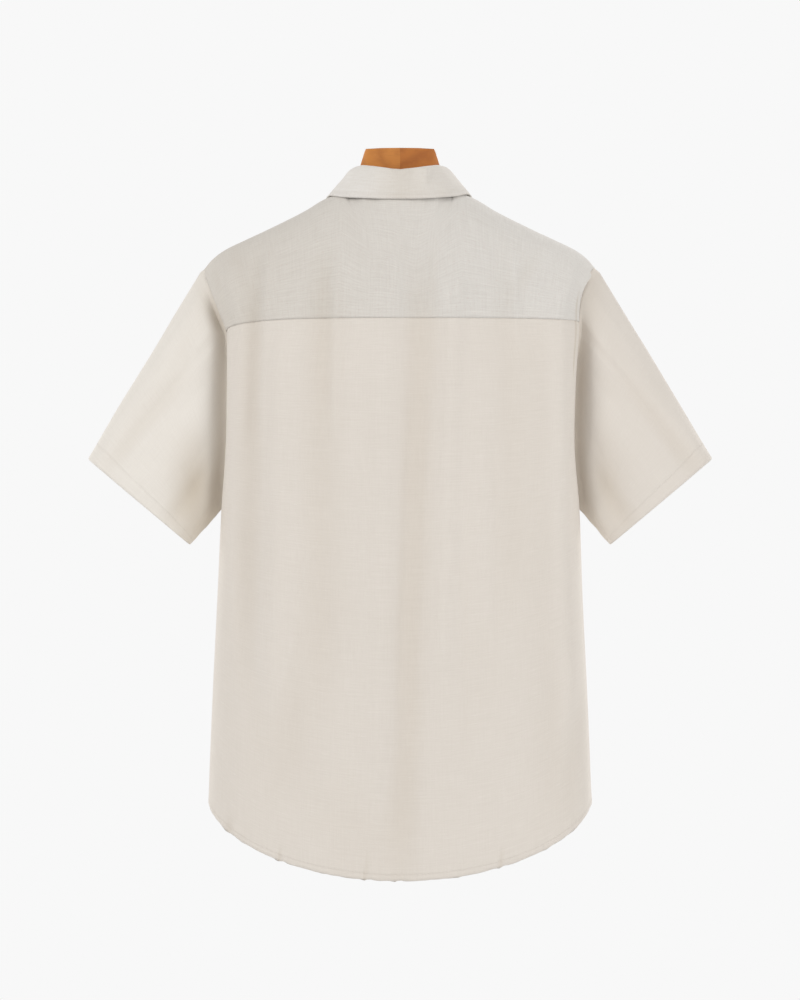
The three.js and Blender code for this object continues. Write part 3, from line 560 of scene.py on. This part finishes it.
def hemPucker(across, away, seed, pitch=16.0):
    ripple = noise.noise(Vector((across / pitch, seed, away / 40)))
    fine = noise.noise(Vector((across / 6.0, seed + 4, away / 20)))
    return (1.3 * ripple + 0.5 * fine) * math.exp(-away / 14)


def panelLevel(face, column, part, top, start, fold):
    hem = hemAt(face, column)
    if part <= fold:
        return mix(top, hem, (part - start) / (fold - start)), 0
    inside = (part - fold) / (1 - fold)
    bend = tailHem["bend"]
    level = hem - tailHem["deep"] * max(0.0, inside - bend) / (1 - bend)
    return level, tailHem["inset"] * ease(0, bend, inside)


def backLevel(column, part):
    top = yokeSeamAt(column) - backLook["under"]
    return panelLevel("back", column, part, top, 0, backLook["fold"])


def backPlace(column, part):
    level, inset = backLevel(column, part)
    spot = bodySpot("back", column, level)
    spot.y += inset * (1 - 0.6 * abs(column) ** 4)
    spot.x -= inset * math.copysign(abs(column) ** 4, column)
    return spot


# the turned-up hem faces the other way, so its creases change sign to follow the panel's
def hemSide(part, fold):
    return 1 - 2 * ease(-0.03, 0.12, (part - fold) / (1 - fold))


def puckerAt(across, away):
    total = 0.0
    for far, width, deep, tall in backLook["puckers"]:
        off = (across - far - away * backLook["puckerDrift"]) / width
        total -= deep * hump(off) * math.exp(-(away / tall) ** 2)
    return total


def backLift(column, part):
    level, _ = backLevel(column, part)
    away = max(0, hemAt("back", column) - level)
    seamAway = level - yokeSeamAt(column)
    tucked = -1.0 * ease(3.6, 1.4, seamAway)
    pucker = hemPucker(column * 205, away, 2.0) + puckerAt(bodyPoint("back", column, level).x, away)
    seamPucker = 0.6 * noise.noise(Vector((column * 30, 6, seamAway / 50)))
    seamPucker *= math.exp(-max(0, seamAway) / 22) * ease(2, 8, seamAway)
    return tucked + pucker * hemSide(part, backLook["fold"]) + seamPucker


# painted shade on the back: darker in the fold troughs, along a line beside the right armhole and beside the
# hem's creases
def backPaintedShade(column, part, spot):
    drop = -spot.z
    calm = 1 - abs(column) ** 10
    deep = backLook["foldPaintedShade"] * max(0.0, foldAt("back", spot.x, drop)) * calm
    # a painted shade line beside the right armhole
    if column > 0.8 and 150 < drop < 280:  # the line beside the right armhole
        high = drop < bodyForm["archDrop"]
        edge = bodySpot("back", 1, drop).x if high else bodyForm["shape"].smooth(drop, "right")
        along = ease(150, 170, drop) * (1 - ease(230, 280, drop))
        deep += backLook["armholePaintedShade"] * hump((edge - spot.x - 3.6) / 0.9) * along
    away = hemAt("back", column) - drop
    if away < 40:
        for far, width, depth, tall in backLook["puckers"]:
            off = (spot.x - far - away * backLook["puckerDrift"]) / width - 0.5
            if depth > 1.3:
                deep += backLook["puckerPaintedShade"] * depth * hump(off) * math.exp(-(away / tall) ** 2)
    return deep


def buildBack():
    length = bodyForm["backHem"] - bodyForm["yokeMiddle"]
    half, fold = backLook["half"], backLook["fold"]

    def edgeAt(column, part):
        return (column * half, (fold - part) / fold * length if part < fold else farFromEdge)

    piece = sheetFrom("backPanel", backLook["steps"], backPlace,
                      lambda spot: Vector((spot.x * 0.2, spot.y - 12, 0)),
                      flatAt=acrossAndAlong(half, -length), edgeAt=edgeAt,
                      wall=backLook["wall"], lift=backLift, paintedShadeAt=backPaintedShade)
    dress(piece, linen("backLinen", panelLinen))
    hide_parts("back_panel")
    return piece


# front panel with its placket
frontLook = {
    "steps": (218, 218), "wall": 0.8, "half": 215, "length": 700, "edgeLength": 720,
    "shoulder": 0.2,  # the part at which the shoulder ends and the straight front begins
    "fold": 0.97,
}


def frontTop(column, part):
    across = ridgeAcross(column)
    atNeck = across <= bodyForm["neckHalf"] + 0.01
    station = 8 - 4 * across / bodyForm["neckHalf"]
    forward = collarForm["neck"].straight(station, "forward") if atNeck else seamForward(column) - 2.0
    start = max(0.0, -turnAtForward(column, forward))
    spot = archPoint("front", column, mix(start, 1, part))
    if atNeck:
        first = archPoint("front", column, start)
        spot += (neckPoint(math.copysign(1, column), station) - first) * (1 - ease(0, 0.65, part))
    return spot


def frontPlace(column, part):
    shoulder = frontLook["shoulder"]
    if part < shoulder:
        return frontTop(column, part / shoulder)
    level, inset = panelLevel("front", column, part, bodyForm["archDrop"], shoulder, frontLook["fold"])
    spot = bodyPoint("front", column, level)
    seam = abs(column) ** 60 * ease(340, 376, level)
    spot.y -= inset * (1 - 0.6 * abs(column) ** 4) + 2.0 * seam
    spot.x -= math.copysign(inset * abs(column) ** 4 + 1.0 * seam, column)
    return spot


def frontLift(column, part):
    fold = frontLook["fold"]
    tucked = -0.9 * ease(0.02, 0.0, part) if ridgeAcross(column) > bodyForm["neckHalf"] else 0
    away = max(0, (fold - part) * 600)
    return tucked + hemPucker(column * 205, away, 8.0) * hemSide(part, fold)


# painted shade on the front: darker in the fold troughs
def frontPaintedShade(column, part, spot):
    calm = 1 - abs(column) ** 10
    return backLook["foldPaintedShade"] * max(0.0, -foldAt("front", spot.x, -spot.z)) * calm


def buildFront():
    half, fold = frontLook["half"], frontLook["fold"]

    def edgeAt(column, part):
        return (column * half, (fold - part) * frontLook["edgeLength"] if part < fold else farFromEdge)

    piece = sheetFrom("frontPanel", frontLook["steps"], frontPlace,
                      lambda spot: Vector((spot.x * 0.2, spot.y - 12, 0)),
                      flatAt=acrossAndAlong(half, -frontLook["length"]), edgeAt=edgeAt,
                      wall=frontLook["wall"], lift=frontLift, paintedShadeAt=frontPaintedShade)
    dress(piece, linen("frontLinen", panelLinen))
    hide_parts("front_panel")
    return piece


def frontColumn(across, level):
    low, high = -1.0, 1.0
    for _ in range(24):
        middle = (low + high) / 2
        if bodySpot("front", middle, level).x < across:
            low = middle
        else:
            high = middle
    return (low + high) / 2


placketLook = {
    # half width, top, bottom, shift out from the front panel
    "upper": (16, 114, 292, 1.5),
    "under": (13, 116, 282, -1.5),
    "steps": (16, 80), "wall": 0.8,
    "linen": {"fleckAmount": 0.1, "stitches": (3.0,)},
}


def buildPlacket(name, band, node):
    half, top, bottom, shift = placketLook[band]
    length = bottom - top
    cells = {}

    def place(column, part):
        level = mix(top, bottom, part)
        key = (round(column, 4), round(part, 4))
        if key not in cells:
            cells[key] = bodySpot("front", frontColumn(column * half, level), level)
        return cells[key].copy()

    def edgeAt(column, part):
        return (part * length, min((1 - abs(column)) * half, (1 - part) * length))

    piece = sheetFrom(name, placketLook["steps"], place, lambda spot: Vector((0, 1, 0)),
                      flatAt=acrossAndAlong(half, -length), edgeAt=edgeAt,
                      wall=placketLook["wall"], lift=lambda column, part: shift)
    dress(piece, linen(name + "Linen", placketLook["linen"]))
    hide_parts(node)
    return piece


# sleeves
sleeveLook = {
    "steps": (200, 110), "wall": 0.8, "half": 215, "length": 230, "edgeLength": 225,
    "hem": 15.0, "turned": 0.93,  # depth of the hem, and the part at which it turns up inside
    "cuffForward": 8, "cuffDepth": 30,
    "outer": (338, 336.5), "inner": (227.5, 429.5),  # across and drop of the cuff's two ends
    "pinch": {-1: (142, 190), 1: (155, 255)},  # where the fold under each armhole begins and is full
    "pinchWidth": 10.5, "pinchForward": 15,
    "pinchShare": (0.35, 0.64),  # how far the front and the back of the sleeve close in that fold
    # each sleeve's colour holds painted light: the left sleeve is painted lighter and the right one darker
    "paintedLightTint": {-1: (239, 235, 229), 1: (228, 222, 215)},
    "linen": {"fleckAmount": 0.08, "stitches": (14.5,), "stitchTone": 0.05, "slub": 0.28, "hasPaintedShade": True},
    # amounts of painted shade near the sleeve's root, at its crown beside the armhole and in its folds
    "rootPaintedShade": {-1: 0.42, 1: 0.14}, "crownPaintedShade": 0.17, "foldPaintedShade": 0.03,
    # around the sleeve, start, end, width, depth
    "folds": ((0.13, 0.2, 1.1, 0.035, 3.4), (0.235, 0.1, 1.1, 0.045, -5.0), (0.345, 0.25, 1.1, 0.035, 4.4),
              (0.44, 0.3, 1.1, 0.02, -1.6), (0.66, 0.1, 1.1, 0.05, -3.5), (0.8, 0.1, 1.1, 0.05, 3.0)),
    "creases": ((0.09, 0.0, 0.5, 0.02, 0.7), (0.19, 0.05, 0.6, 0.02, 0.8), (0.3, 0.15, 0.8, 0.015, 0.7),
                (0.42, 0.2, 1.0, 0.02, -0.8), (0.62, 0.1, 0.8, 0.02, 0.8), (0.84, 0.1, 0.9, 0.03, 1.0)),
}


def armholeEdge(side):
    archSteps, straightSteps = 26, 30
    arch = [(archPoint, step / archSteps) for step in range(archSteps)]
    straight = [(bodyPoint, mix(bodyForm["archDrop"], bodyForm["underarm"], step / straightSteps))
                for step in range(straightSteps + 1)]
    lowest = archSteps + straightSteps
    down = arch + straight
    up = down[-2:0:-1]
    points = []
    for face, order in (("back", down), ("front", up)):
        for pointAt, value in order:
            edge, inside = [pointAt(face, column, value) for column in (side, side * 0.985)]
            points.append({"edge": edge, "out": edge - inside, "drop": -edge.z})
    walked = [0.0]
    for place, point in enumerate(points):
        after = points[(place + 1) % len(points)]
        walked.append(walked[-1] + (after["edge"] - point["edge"]).length)
    for place, point in enumerate(points):
        before, after = points[place - 1], points[(place + 1) % len(points)]
        along = (after["edge"] - before["edge"]).normalized()
        out = point["out"].normalized() + Vector((side * 0.9, 0, -0.35))
        out -= along * out.dot(along)
        point["out"] = out.normalized()
        skin = along.cross(point["out"]).normalized()
        fromMiddle = point["edge"] - Vector((side * 120, 14, point["edge"].z))
        point["skin"] = skin if skin.dot(fromMiddle) > 0 else -skin
        if place <= lowest:
            point["around"] = 0.5 * walked[place] / walked[lowest]
        else:
            point["around"] = 0.5 + 0.5 * (walked[place] - walked[lowest]) / (walked[-1] - walked[lowest])
    return points


def ringAt(points, around):
    for place, point in enumerate(points):
        after = points[(place + 1) % len(points)]
        end = after["around"] if place < len(points) - 1 else 1.0
        if point["around"] <= around <= end:
            break
    part = (around - point["around"]) / max(1e-9, end - point["around"])
    return (point["edge"].lerp(after["edge"], part), point["out"].lerp(after["out"], part).normalized(),
            mix(point["drop"], after["drop"], part), point["skin"].lerp(after["skin"], part))


def cuffPoint(side, around):
    angle = around * 2 * math.pi
    along, deep = math.cos(angle), math.sin(angle)
    part = (1 - math.copysign(abs(along) ** 0.9, along)) / 2
    depth = math.copysign(abs(deep) ** 0.85, deep)
    (outer, outerDrop), (inner, innerDrop) = sleeveLook["outer"], sleeveLook["inner"]
    forward = sleeveLook["cuffForward"] - sleeveLook["cuffDepth"] * depth
    return Vector((side * mix(outer, inner, part), forward, -mix(outerDrop, innerDrop, part)))


def pinchAt(side, spot):
    drop = -spot.z
    if drop > bodyForm["archDrop"]:
        edge = bodyForm["shape"].smooth(drop, "left" if side < 0 else "right")
    else:
        edge = abs(bodySpot("back", side, max(drop, bodyForm["tipDrop"] + 1)).x)
    off = abs(spot.x) - edge - 2
    begin, full = sleeveLook["pinch"][side]
    return ease(begin, full, drop) * (1.0 if off < 0 else hump(off / sleeveLook["pinchWidth"]))


def buildSleeve(name, side, node):
    points = armholeEdge(side)
    turned = sleeveLook["turned"]
    ring = {}
    dips = {}

    def place(column, part):
        around = (column + 1) / 2 % 1.0
        key = round(around, 6)
        if key not in ring:
            ring[key] = ringAt(points, around)
        edge, out, drop, skin = ring[key]
        end = cuffPoint(side, around)
        reach = (end - edge).length
        inset = 0.0
        if part > turned:
            inside = (part - turned) / (1 - turned)
            along = 1 - sleeveLook["hem"] / reach * max(0.0, inside - 0.1) / 0.9
            inset = 1.0 * ease(0, 0.1, inside)
        else:
            along = (part / turned) ** 1.3
        bottom = ease(340, 388, drop)
        start = edge + out * (0.6 * (1 - bottom)) + Vector((side * 1.2 * bottom, 0, 0))
        start += Vector((side * 0.9, 0, 1.3)) * (1 - ease(133, 142, drop))
        spot = start.lerp(end, along)
        angle = around * 2 * math.pi
        across, deep = math.cos(angle), math.sin(angle)
        toward = Vector((-side * 0.765 * across * 30, deep * 72, -0.644 * across * 30)).normalized()
        under = 1 - ease(0.0, 0.014, along)  # the first rows go in under the armhole's edge
        spot -= (out * 4.6 + skin * 1.0) * under * (1 - bottom)
        share = pinchAt(side, spot) * ease(0.0, 0.02, along) * mix(*sleeveLook["pinchShare"], (1 + deep) / 2)
        spot.y = mix(spot.y, sleeveLook["pinchForward"], share)
        depth = 0.0
        for far, first, last, width, dip in sleeveLook["folds"] + sleeveLook["creases"]:
            fade = ease(first, first + 0.35, along) * (1 - ease(last - 0.3, last, along))
            depth += dip * fade * hump((around - far) / width)
        grain = Vector((across * 1.4, deep * 1.4 + 3 * side, along * 2.2))
        depth += 1.2 * noise.noise(grain * 1.6) * ease(0.03, 0.3, along)
        dips[(column, part)] = depth
        away = (1 - along) * reach
        depth += inset - 0.8 * hemPucker(around * 340, away, 12 + side, 13) * deep ** 2
        return spot + toward * depth

    # painted shade on the sleeve: in the fold under the armhole, in its folds, near its root and at its
    # crown
    def sleevePaintedShade(column, part, spot):
        drop = -spot.z
        root = hump((abs(spot.x) - 218) / 26) * ease(285, 375, drop) * sleeveLook["rootPaintedShade"][side]
        crown = hump((abs(spot.x) - 200) / 20) * (1 - ease(150, 230, drop)) * sleeveLook["crownPaintedShade"]
        pinch = (0.26 if column < 0 else 0.1) * pinchAt(side, spot)
        return pinch + sleeveLook["foldPaintedShade"] * max(0.0, dips[(column, part)]) + root + crown

    def flatAt(column, part):
        return (column * sleeveLook["half"], -min(part / turned, 1) * sleeveLook["length"])

    def edgeAt(column, part):
        off = (1 - part / turned) * sleeveLook["edgeLength"]
        return (column * sleeveLook["half"], off if part < turned else farFromEdge)

    piece = sheetFrom(name, sleeveLook["steps"], place, lambda spot: Vector((0, spot.y - 12, 0)),
                      flatAt=flatAt, edgeAt=edgeAt, wall=sleeveLook["wall"], paintedShadeAt=sleevePaintedShade, closed=True)
    dress(piece, linen(name + "Linen", {**sleeveLook["linen"], "colour": sleeveLook["paintedLightTint"][side]}))
    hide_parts(node)
    return piece


# collar
def standPlace(column, part):
    side, station = math.copysign(1, column), min(8 * abs(column), collarForm["lastStation"])
    foot = neckPoint(side, station) - outOfNeck(side, station) * 0.6
    foot.z -= 2.0
    top = linePoint("fold", side, station)
    top.z -= 2.6
    return foot.lerp(top, 1 - part)


def leafPlace(column, part):
    side, station = math.copysign(1, column), min(8 * abs(column), collarForm["lastStation"])
    out = outOfNeck(side, station)
    start = linePoint("fold", side, station) + out * 1.4
    start.z -= 3.4
    rise, over, end = start + out * 0.4, start + out * 6.5, linePoint("edge", side, station)
    rise.z += 5.6
    over.z += 3.6
    if side > 0:
        end += Vector((-2.0, 0.6, 1.4)) * ease(1, 4, station) * (1 - ease(5, 7, station))
    back = 1 - part
    spot = start * back ** 3 + rise * (3 * back * back * part)
    spot += over * (3 * back * part * part) + end * part ** 3
    depth = 1.3 * noise.noise(Vector((spot.x / 17, part * 2.5, 21))) * ease(0.05, 0.4, part)
    if station < 5:
        for far, level, width, tall, deep in collarForm["dents"]:
            depth += deep * hump((spot.x - far) / width) * hump((part - level) / tall)
    spot -= out * depth * 0.8
    spot.z -= max(0.0, depth) * 0.5 * back
    return spot


# painted shade on the collar leaf: darker in its middle and towards its right end
def leafPaintedShade(column, part, spot):
    return 0.22 * hump((spot.x - 2) / 28) + 0.1 * ease(10, 50, spot.x)


def buildCollar():
    form = collarForm
    stand = sheetFrom("collarStand", form["standSteps"], standPlace,
                      lambda spot: Vector((spot.x, spot.y - 10, 0)),
                      flatAt=acrossAndAlong(form["standHalf"], -form["standLength"]),
                      edgeAt=acrossAndAlong(form["standHalf"], form["standLength"]), wall=form["standWall"])
    dress(stand, linen("standLinen", form["standLinen"]))
    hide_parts("collar_stand")
    leaf = sheetFrom("collarLeaf", form["leafSteps"], leafPlace,
                     lambda spot: Vector((spot.x, spot.y - 10, 5)),
                     flatAt=acrossAndAlong(form["leafHalf"], -form["leafLength"]),
                     edgeAt=lambda column, part: (column * form["leafHalf"], (1 - part) * form["leafEdge"]),
                     wall=form["leafWall"], paintedShadeAt=leafPaintedShade)
    dress(leaf, linen("leafLinen", form["leafLinen"]))
    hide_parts("collar_leaf")
    return stand, leaf


# the hanger's halves, seen at the block and hidden in the shoulders
woodLook = {
    # warm, dark and pale wood of each half
    "tones": {-1: ((212, 138, 62), (172, 100, 36), (226, 158, 84)),
              1: ((196, 120, 48), (158, 86, 28), (214, 142, 70))},
    "pores": (130, 72, 30), "roughness": 0.4, "coat": 0.25,
    # across and drop of the top edge and of the underside
    "top": ((0, 0), (20, 0.2), (37.5, 1.2), (43, 19), (45, 34), (47, 47), (53, 54), (66, 57.2), (84, 61.4),
            (101.5, 72.2), (122.5, 83), (144.7, 93.8), (168, 104.6), (188, 114.6), (195, 119.5)),
    "under": ((0, 66), (14, 68), (24, 70), (28, 71.5), (32, 73), (40, 75), (52, 79), (66, 84), (84, 91.5),
              (101.5, 100), (122.5, 110), (144.7, 120), (168, 130), (188, 136), (196, 128)),
    "halfThick": 7, "endHalfThick": 11, "round": 2.2, "steps": 90,
    "overlap": 0.02,  # the halves meet a little past the middle
}


def wood(name, side):
    shade = Shader(name)
    where = shade.node("ShaderNodeTexCoord", None, 3)
    turned = shade.scaled(where, (40, 60, 70), (0.3 * side, 0, 0), (0, 0.9 * side, 0))
    bend = shade.noise(shade.scaled(where, (30, 10, 30)), 1.0, 2.0)
    rings = shade.noise(turned, 1.4, 4.0, 0.6)
    across, _, up = shade.split(turned)
    lines = ((up + bend * 2.6 + across * 0.2) * 5.0).sine().above(-0.8, 1.0)
    grain = shade.scaled(where, (120, 500, 1400), (0, 0, 0), (0, 0.5 * side, 0))
    pores = shade.noise(grain, 1.0, 2.0).above(0.56, 0.72)
    warm, dark, pale = woodLook["tones"][side]
    tone = shade.blend(lines * 0.45 + rings * 0.2, linear(*warm), linear(*dark))
    tone = shade.blend(rings.above(0.5, 0.8) * 0.4, tone, linear(*pale))
    tone = shade.blend(pores * 0.12, tone, linear(*woodLook["pores"]))
    shade.feed("Base Color", tone)
    shade.feed("Roughness", rings * 0.12 + woodLook["roughness"])
    shade.feed("Coat Weight", woodLook["coat"])
    shade.feed("Coat Roughness", 0.18)
    shade.feed("Normal", shade.bump(lines * 0.4 + pores * -0.8, 0.25, 0.0003))
    return shade.material


# one ring round the wood's section: each point is at the top (0) or the underside (1), at the front (1) or
# the back (-1), and in from the corner in height and in depth by these shares of the rounding
def hangerRing():
    arc = [(math.cos(turn * math.pi / 8), math.sin(turn * math.pi / 8)) for turn in range(5)]
    ring = [(0, 1, 1 - across, 1 - up) for across, up in arc]
    ring += [(1, 1, 1 - up, 1 - across) for across, up in arc]
    ring += [(1, -1, 1 - across, 1 - up) for across, up in arc]
    ring += [(0, -1, 1 - up, 1 - across) for across, up in arc]
    return ring


def walkAlong(points, part):
    steps = [math.dist(first, second) for first, second in zip(points, points[1:])]
    left = part * sum(steps)
    for step, first, second in zip(steps, points, points[1:]):
        if left <= step or second is points[-1]:
            share = clamp(left / step)
            return mix(first[0], second[0], share), mix(first[1], second[1], share)
        left -= step


def buildHangerHalf(name, side, node):
    ring = hangerRing()
    wide, high, rounding = woodLook["steps"], len(ring), woodLook["round"]
    shell = bmesh.new()
    bmesh.ops.create_grid(shell, x_segments=wide, y_segments=high, size=1)
    for vert in shell.verts:
        station = round((vert.co.x + 1) / 2 * wide)
        low, face, inAlong, inDeep = ring[round((vert.co.y + 1) / 2 * high) % high]
        part = clamp((station - 1) / (wide - 2))
        top = walkAlong(woodLook["top"], part)
        under = walkAlong(woodLook["under"], part)
        shrink = 1 - ease(0.985, 1.0, part) * 0.45
        thick = mix(woodLook["halfThick"], woodLook["endHalfThick"], ease(50, 180, top[0])) * shrink
        slide = rounding * inAlong / math.dist(top, under)
        share = slide if low == 0 else 1 - slide
        across, drop = mix(top[0], under[0], share), mix(top[1], under[1], share)
        deep = face * (thick - rounding * inDeep)
        if station in (0, wide):  # both ends close to a point in the middle of the section
            across, drop, deep = (top[0] + under[0]) / 2, (top[1] + under[1]) / 2, 0
        bend = bodyForm["bow"] * (across / bodyForm["tip"]) ** 2
        vert.co = Vector((side * (across - woodLook["overlap"]), deep + bend, -drop)) / 1000
    bmesh.ops.remove_doubles(shell, verts=shell.verts, dist=1e-6)
    bmesh.ops.recalc_face_normals(shell, faces=shell.faces)
    for face in shell.faces:
        face.smooth = True
    mesh = bpy.data.meshes.new(name)
    shell.to_mesh(mesh)
    shell.free()
    mesh.set_sharp_from_angle(angle=math.radians(38))
    piece = bpy.data.objects.new(name, mesh)
    bpy.context.scene.collection.objects.link(piece)
    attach(piece, "root")
    dress(piece, wood(name + "Wood", side))
    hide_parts(node)
    return piece


# the buttons keep their solids and get a finish of pale horn
buttonLook = {
    "pale": (232, 224, 206), "cloud": (212, 200, 178), "streak": (196, 180, 152),
    "roughness": 0.26, "coat": 0.3,
}


def horn(name):
    shade = Shader(name)
    where = shade.node("ShaderNodeTexCoord", None, 3)
    cloud = shade.noise(shade.scaled(where, (260, 260, 520)), 1.0, 3.0)
    streak = shade.noise(shade.scaled(where, (900, 60, 140)), 1.0, 2.0)
    tone = shade.blend(cloud.above(0.35, 0.7), linear(*buttonLook["pale"]), linear(*buttonLook["cloud"]))
    tone = shade.blend(streak.above(0.5, 0.8) * 0.4, tone, linear(*buttonLook["streak"]))
    shade.feed("Base Color", tone)
    shade.feed("Roughness", cloud * 0.15 + buttonLook["roughness"])
    shade.feed("Coat Weight", buttonLook["coat"])
    return shade.material


def dressButtons():
    finish = horn("buttonHorn")
    for place in (1, 2, 3):
        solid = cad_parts["button_%d" % place]
        solid.data.materials.clear()
        solid.data.materials.append(finish)


# studio, in metres, but the lens and the camera's drop in millimetres
studio = {
    "distance": 12.03, "lens": 400, "centreDrop": 381.2,
    "backdrop": (248, 248, 248), "ambient": 0.52, "daylight": (1.0, 0.985, 0.965),
    "paper": (0.9, 0.9, 0.9), "floorDrop": 1.25, "floorRadius": 3.4,
    # name, power, size, place
    "lamps": (("key", 48, 1.4, (-2.6, -2.2, 1.5)), ("fill", 38, 2.0, (2.8, -2.2, 0.6)),
              ("frontKey", 55, 1.8, (2.2, 2.6, 1.4)), ("frontFill", 30, 2.2, (-2.6, 2.4, 0.3))),
    "lampColour": (1.0, 0.985, 0.96), "aim": (0, 0, -0.35),
}


def buildStudio():
    scene = bpy.context.scene
    scene.view_settings.view_transform = "Standard"
    scene.view_settings.look = "None"
    world = bpy.data.worlds.new("studioWorld")
    scene.world = world
    world.use_nodes = True
    tree = world.node_tree
    tree.nodes.clear()
    path = tree.nodes.new("ShaderNodeLightPath")
    seen, light = tree.nodes.new("ShaderNodeBackground"), tree.nodes.new("ShaderNodeBackground")
    seen.inputs[0].default_value = (*linear(*studio["backdrop"]), 1)
    light.inputs[0].default_value = (*studio["daylight"], 1)
    light.inputs[1].default_value = studio["ambient"]
    join, out = tree.nodes.new("ShaderNodeMixShader"), tree.nodes.new("ShaderNodeOutputWorld")
    tree.links.new(path.outputs["Is Camera Ray"], join.inputs[0])
    tree.links.new(light.outputs[0], join.inputs[1])
    tree.links.new(seen.outputs[0], join.inputs[2])
    tree.links.new(join.outputs[0], out.inputs[0])
    for name, power, size, spot in studio["lamps"]:
        lamp = bpy.data.lights.new(name, "AREA")
        lamp.energy, lamp.size = power, size
        lamp.color = studio["lampColour"]
        holder = bpy.data.objects.new(name, lamp)
        holder.location = spot
        toAim = Vector(studio["aim"]) - Vector(spot)
        holder.rotation_euler = toAim.to_track_quat("-Z", "Y").to_euler()
        scene.collection.objects.link(holder)
    floorShape = bmesh.new()
    bmesh.ops.create_circle(floorShape, cap_ends=True, segments=96, radius=studio["floorRadius"])
    floorMesh = bpy.data.meshes.new("studioFloor")
    for vert in floorShape.verts:
        vert.co.z = -studio["floorDrop"]
    floorShape.to_mesh(floorMesh)
    floorShape.free()
    floor = bpy.data.objects.new("studioFloor", floorMesh)
    scene.collection.objects.link(floor)
    pale = Shader("studioPaper")
    pale.feed("Base Color", (*studio["paper"], 1))
    pale.feed("Roughness", 0.9)
    floor.data.materials.append(pale.material)
    lens = bpy.data.cameras.new("photoView")
    lens.lens, lens.sensor_width = studio["lens"], 36
    lens.clip_end = 100
    camera = bpy.data.objects.new("photoView", lens)
    camera.location = (0, -studio["distance"], -studio["centreDrop"] / 1000)
    camera.rotation_euler = (math.pi / 2, 0, 0)
    scene.collection.objects.link(camera)
    scene.camera = camera


buildStudio()
print("studio ready")
yoke = buildYoke()
print("yoke sewn")
back = buildBack()
print("back panel sewn")
front = buildFront()
print("front panel sewn")
upper = buildPlacket("placketUpper", "upper", "placket_upper")
under = buildPlacket("placketUnder", "under", "placket_under")
print("placket sewn")
sleeves = [buildSleeve("sleeveLeft", -1, "sleeve_left"), buildSleeve("sleeveRight", 1, "sleeve_right")]
print("sleeves sewn")
stand, leaf = buildCollar()
buildHangerHalf("hangerLeft", -1, "hanger_half_left")
buildHangerHalf("hangerRight", 1, "hanger_half_right")
dressButtons()
print("collar, hanger and buttons made")
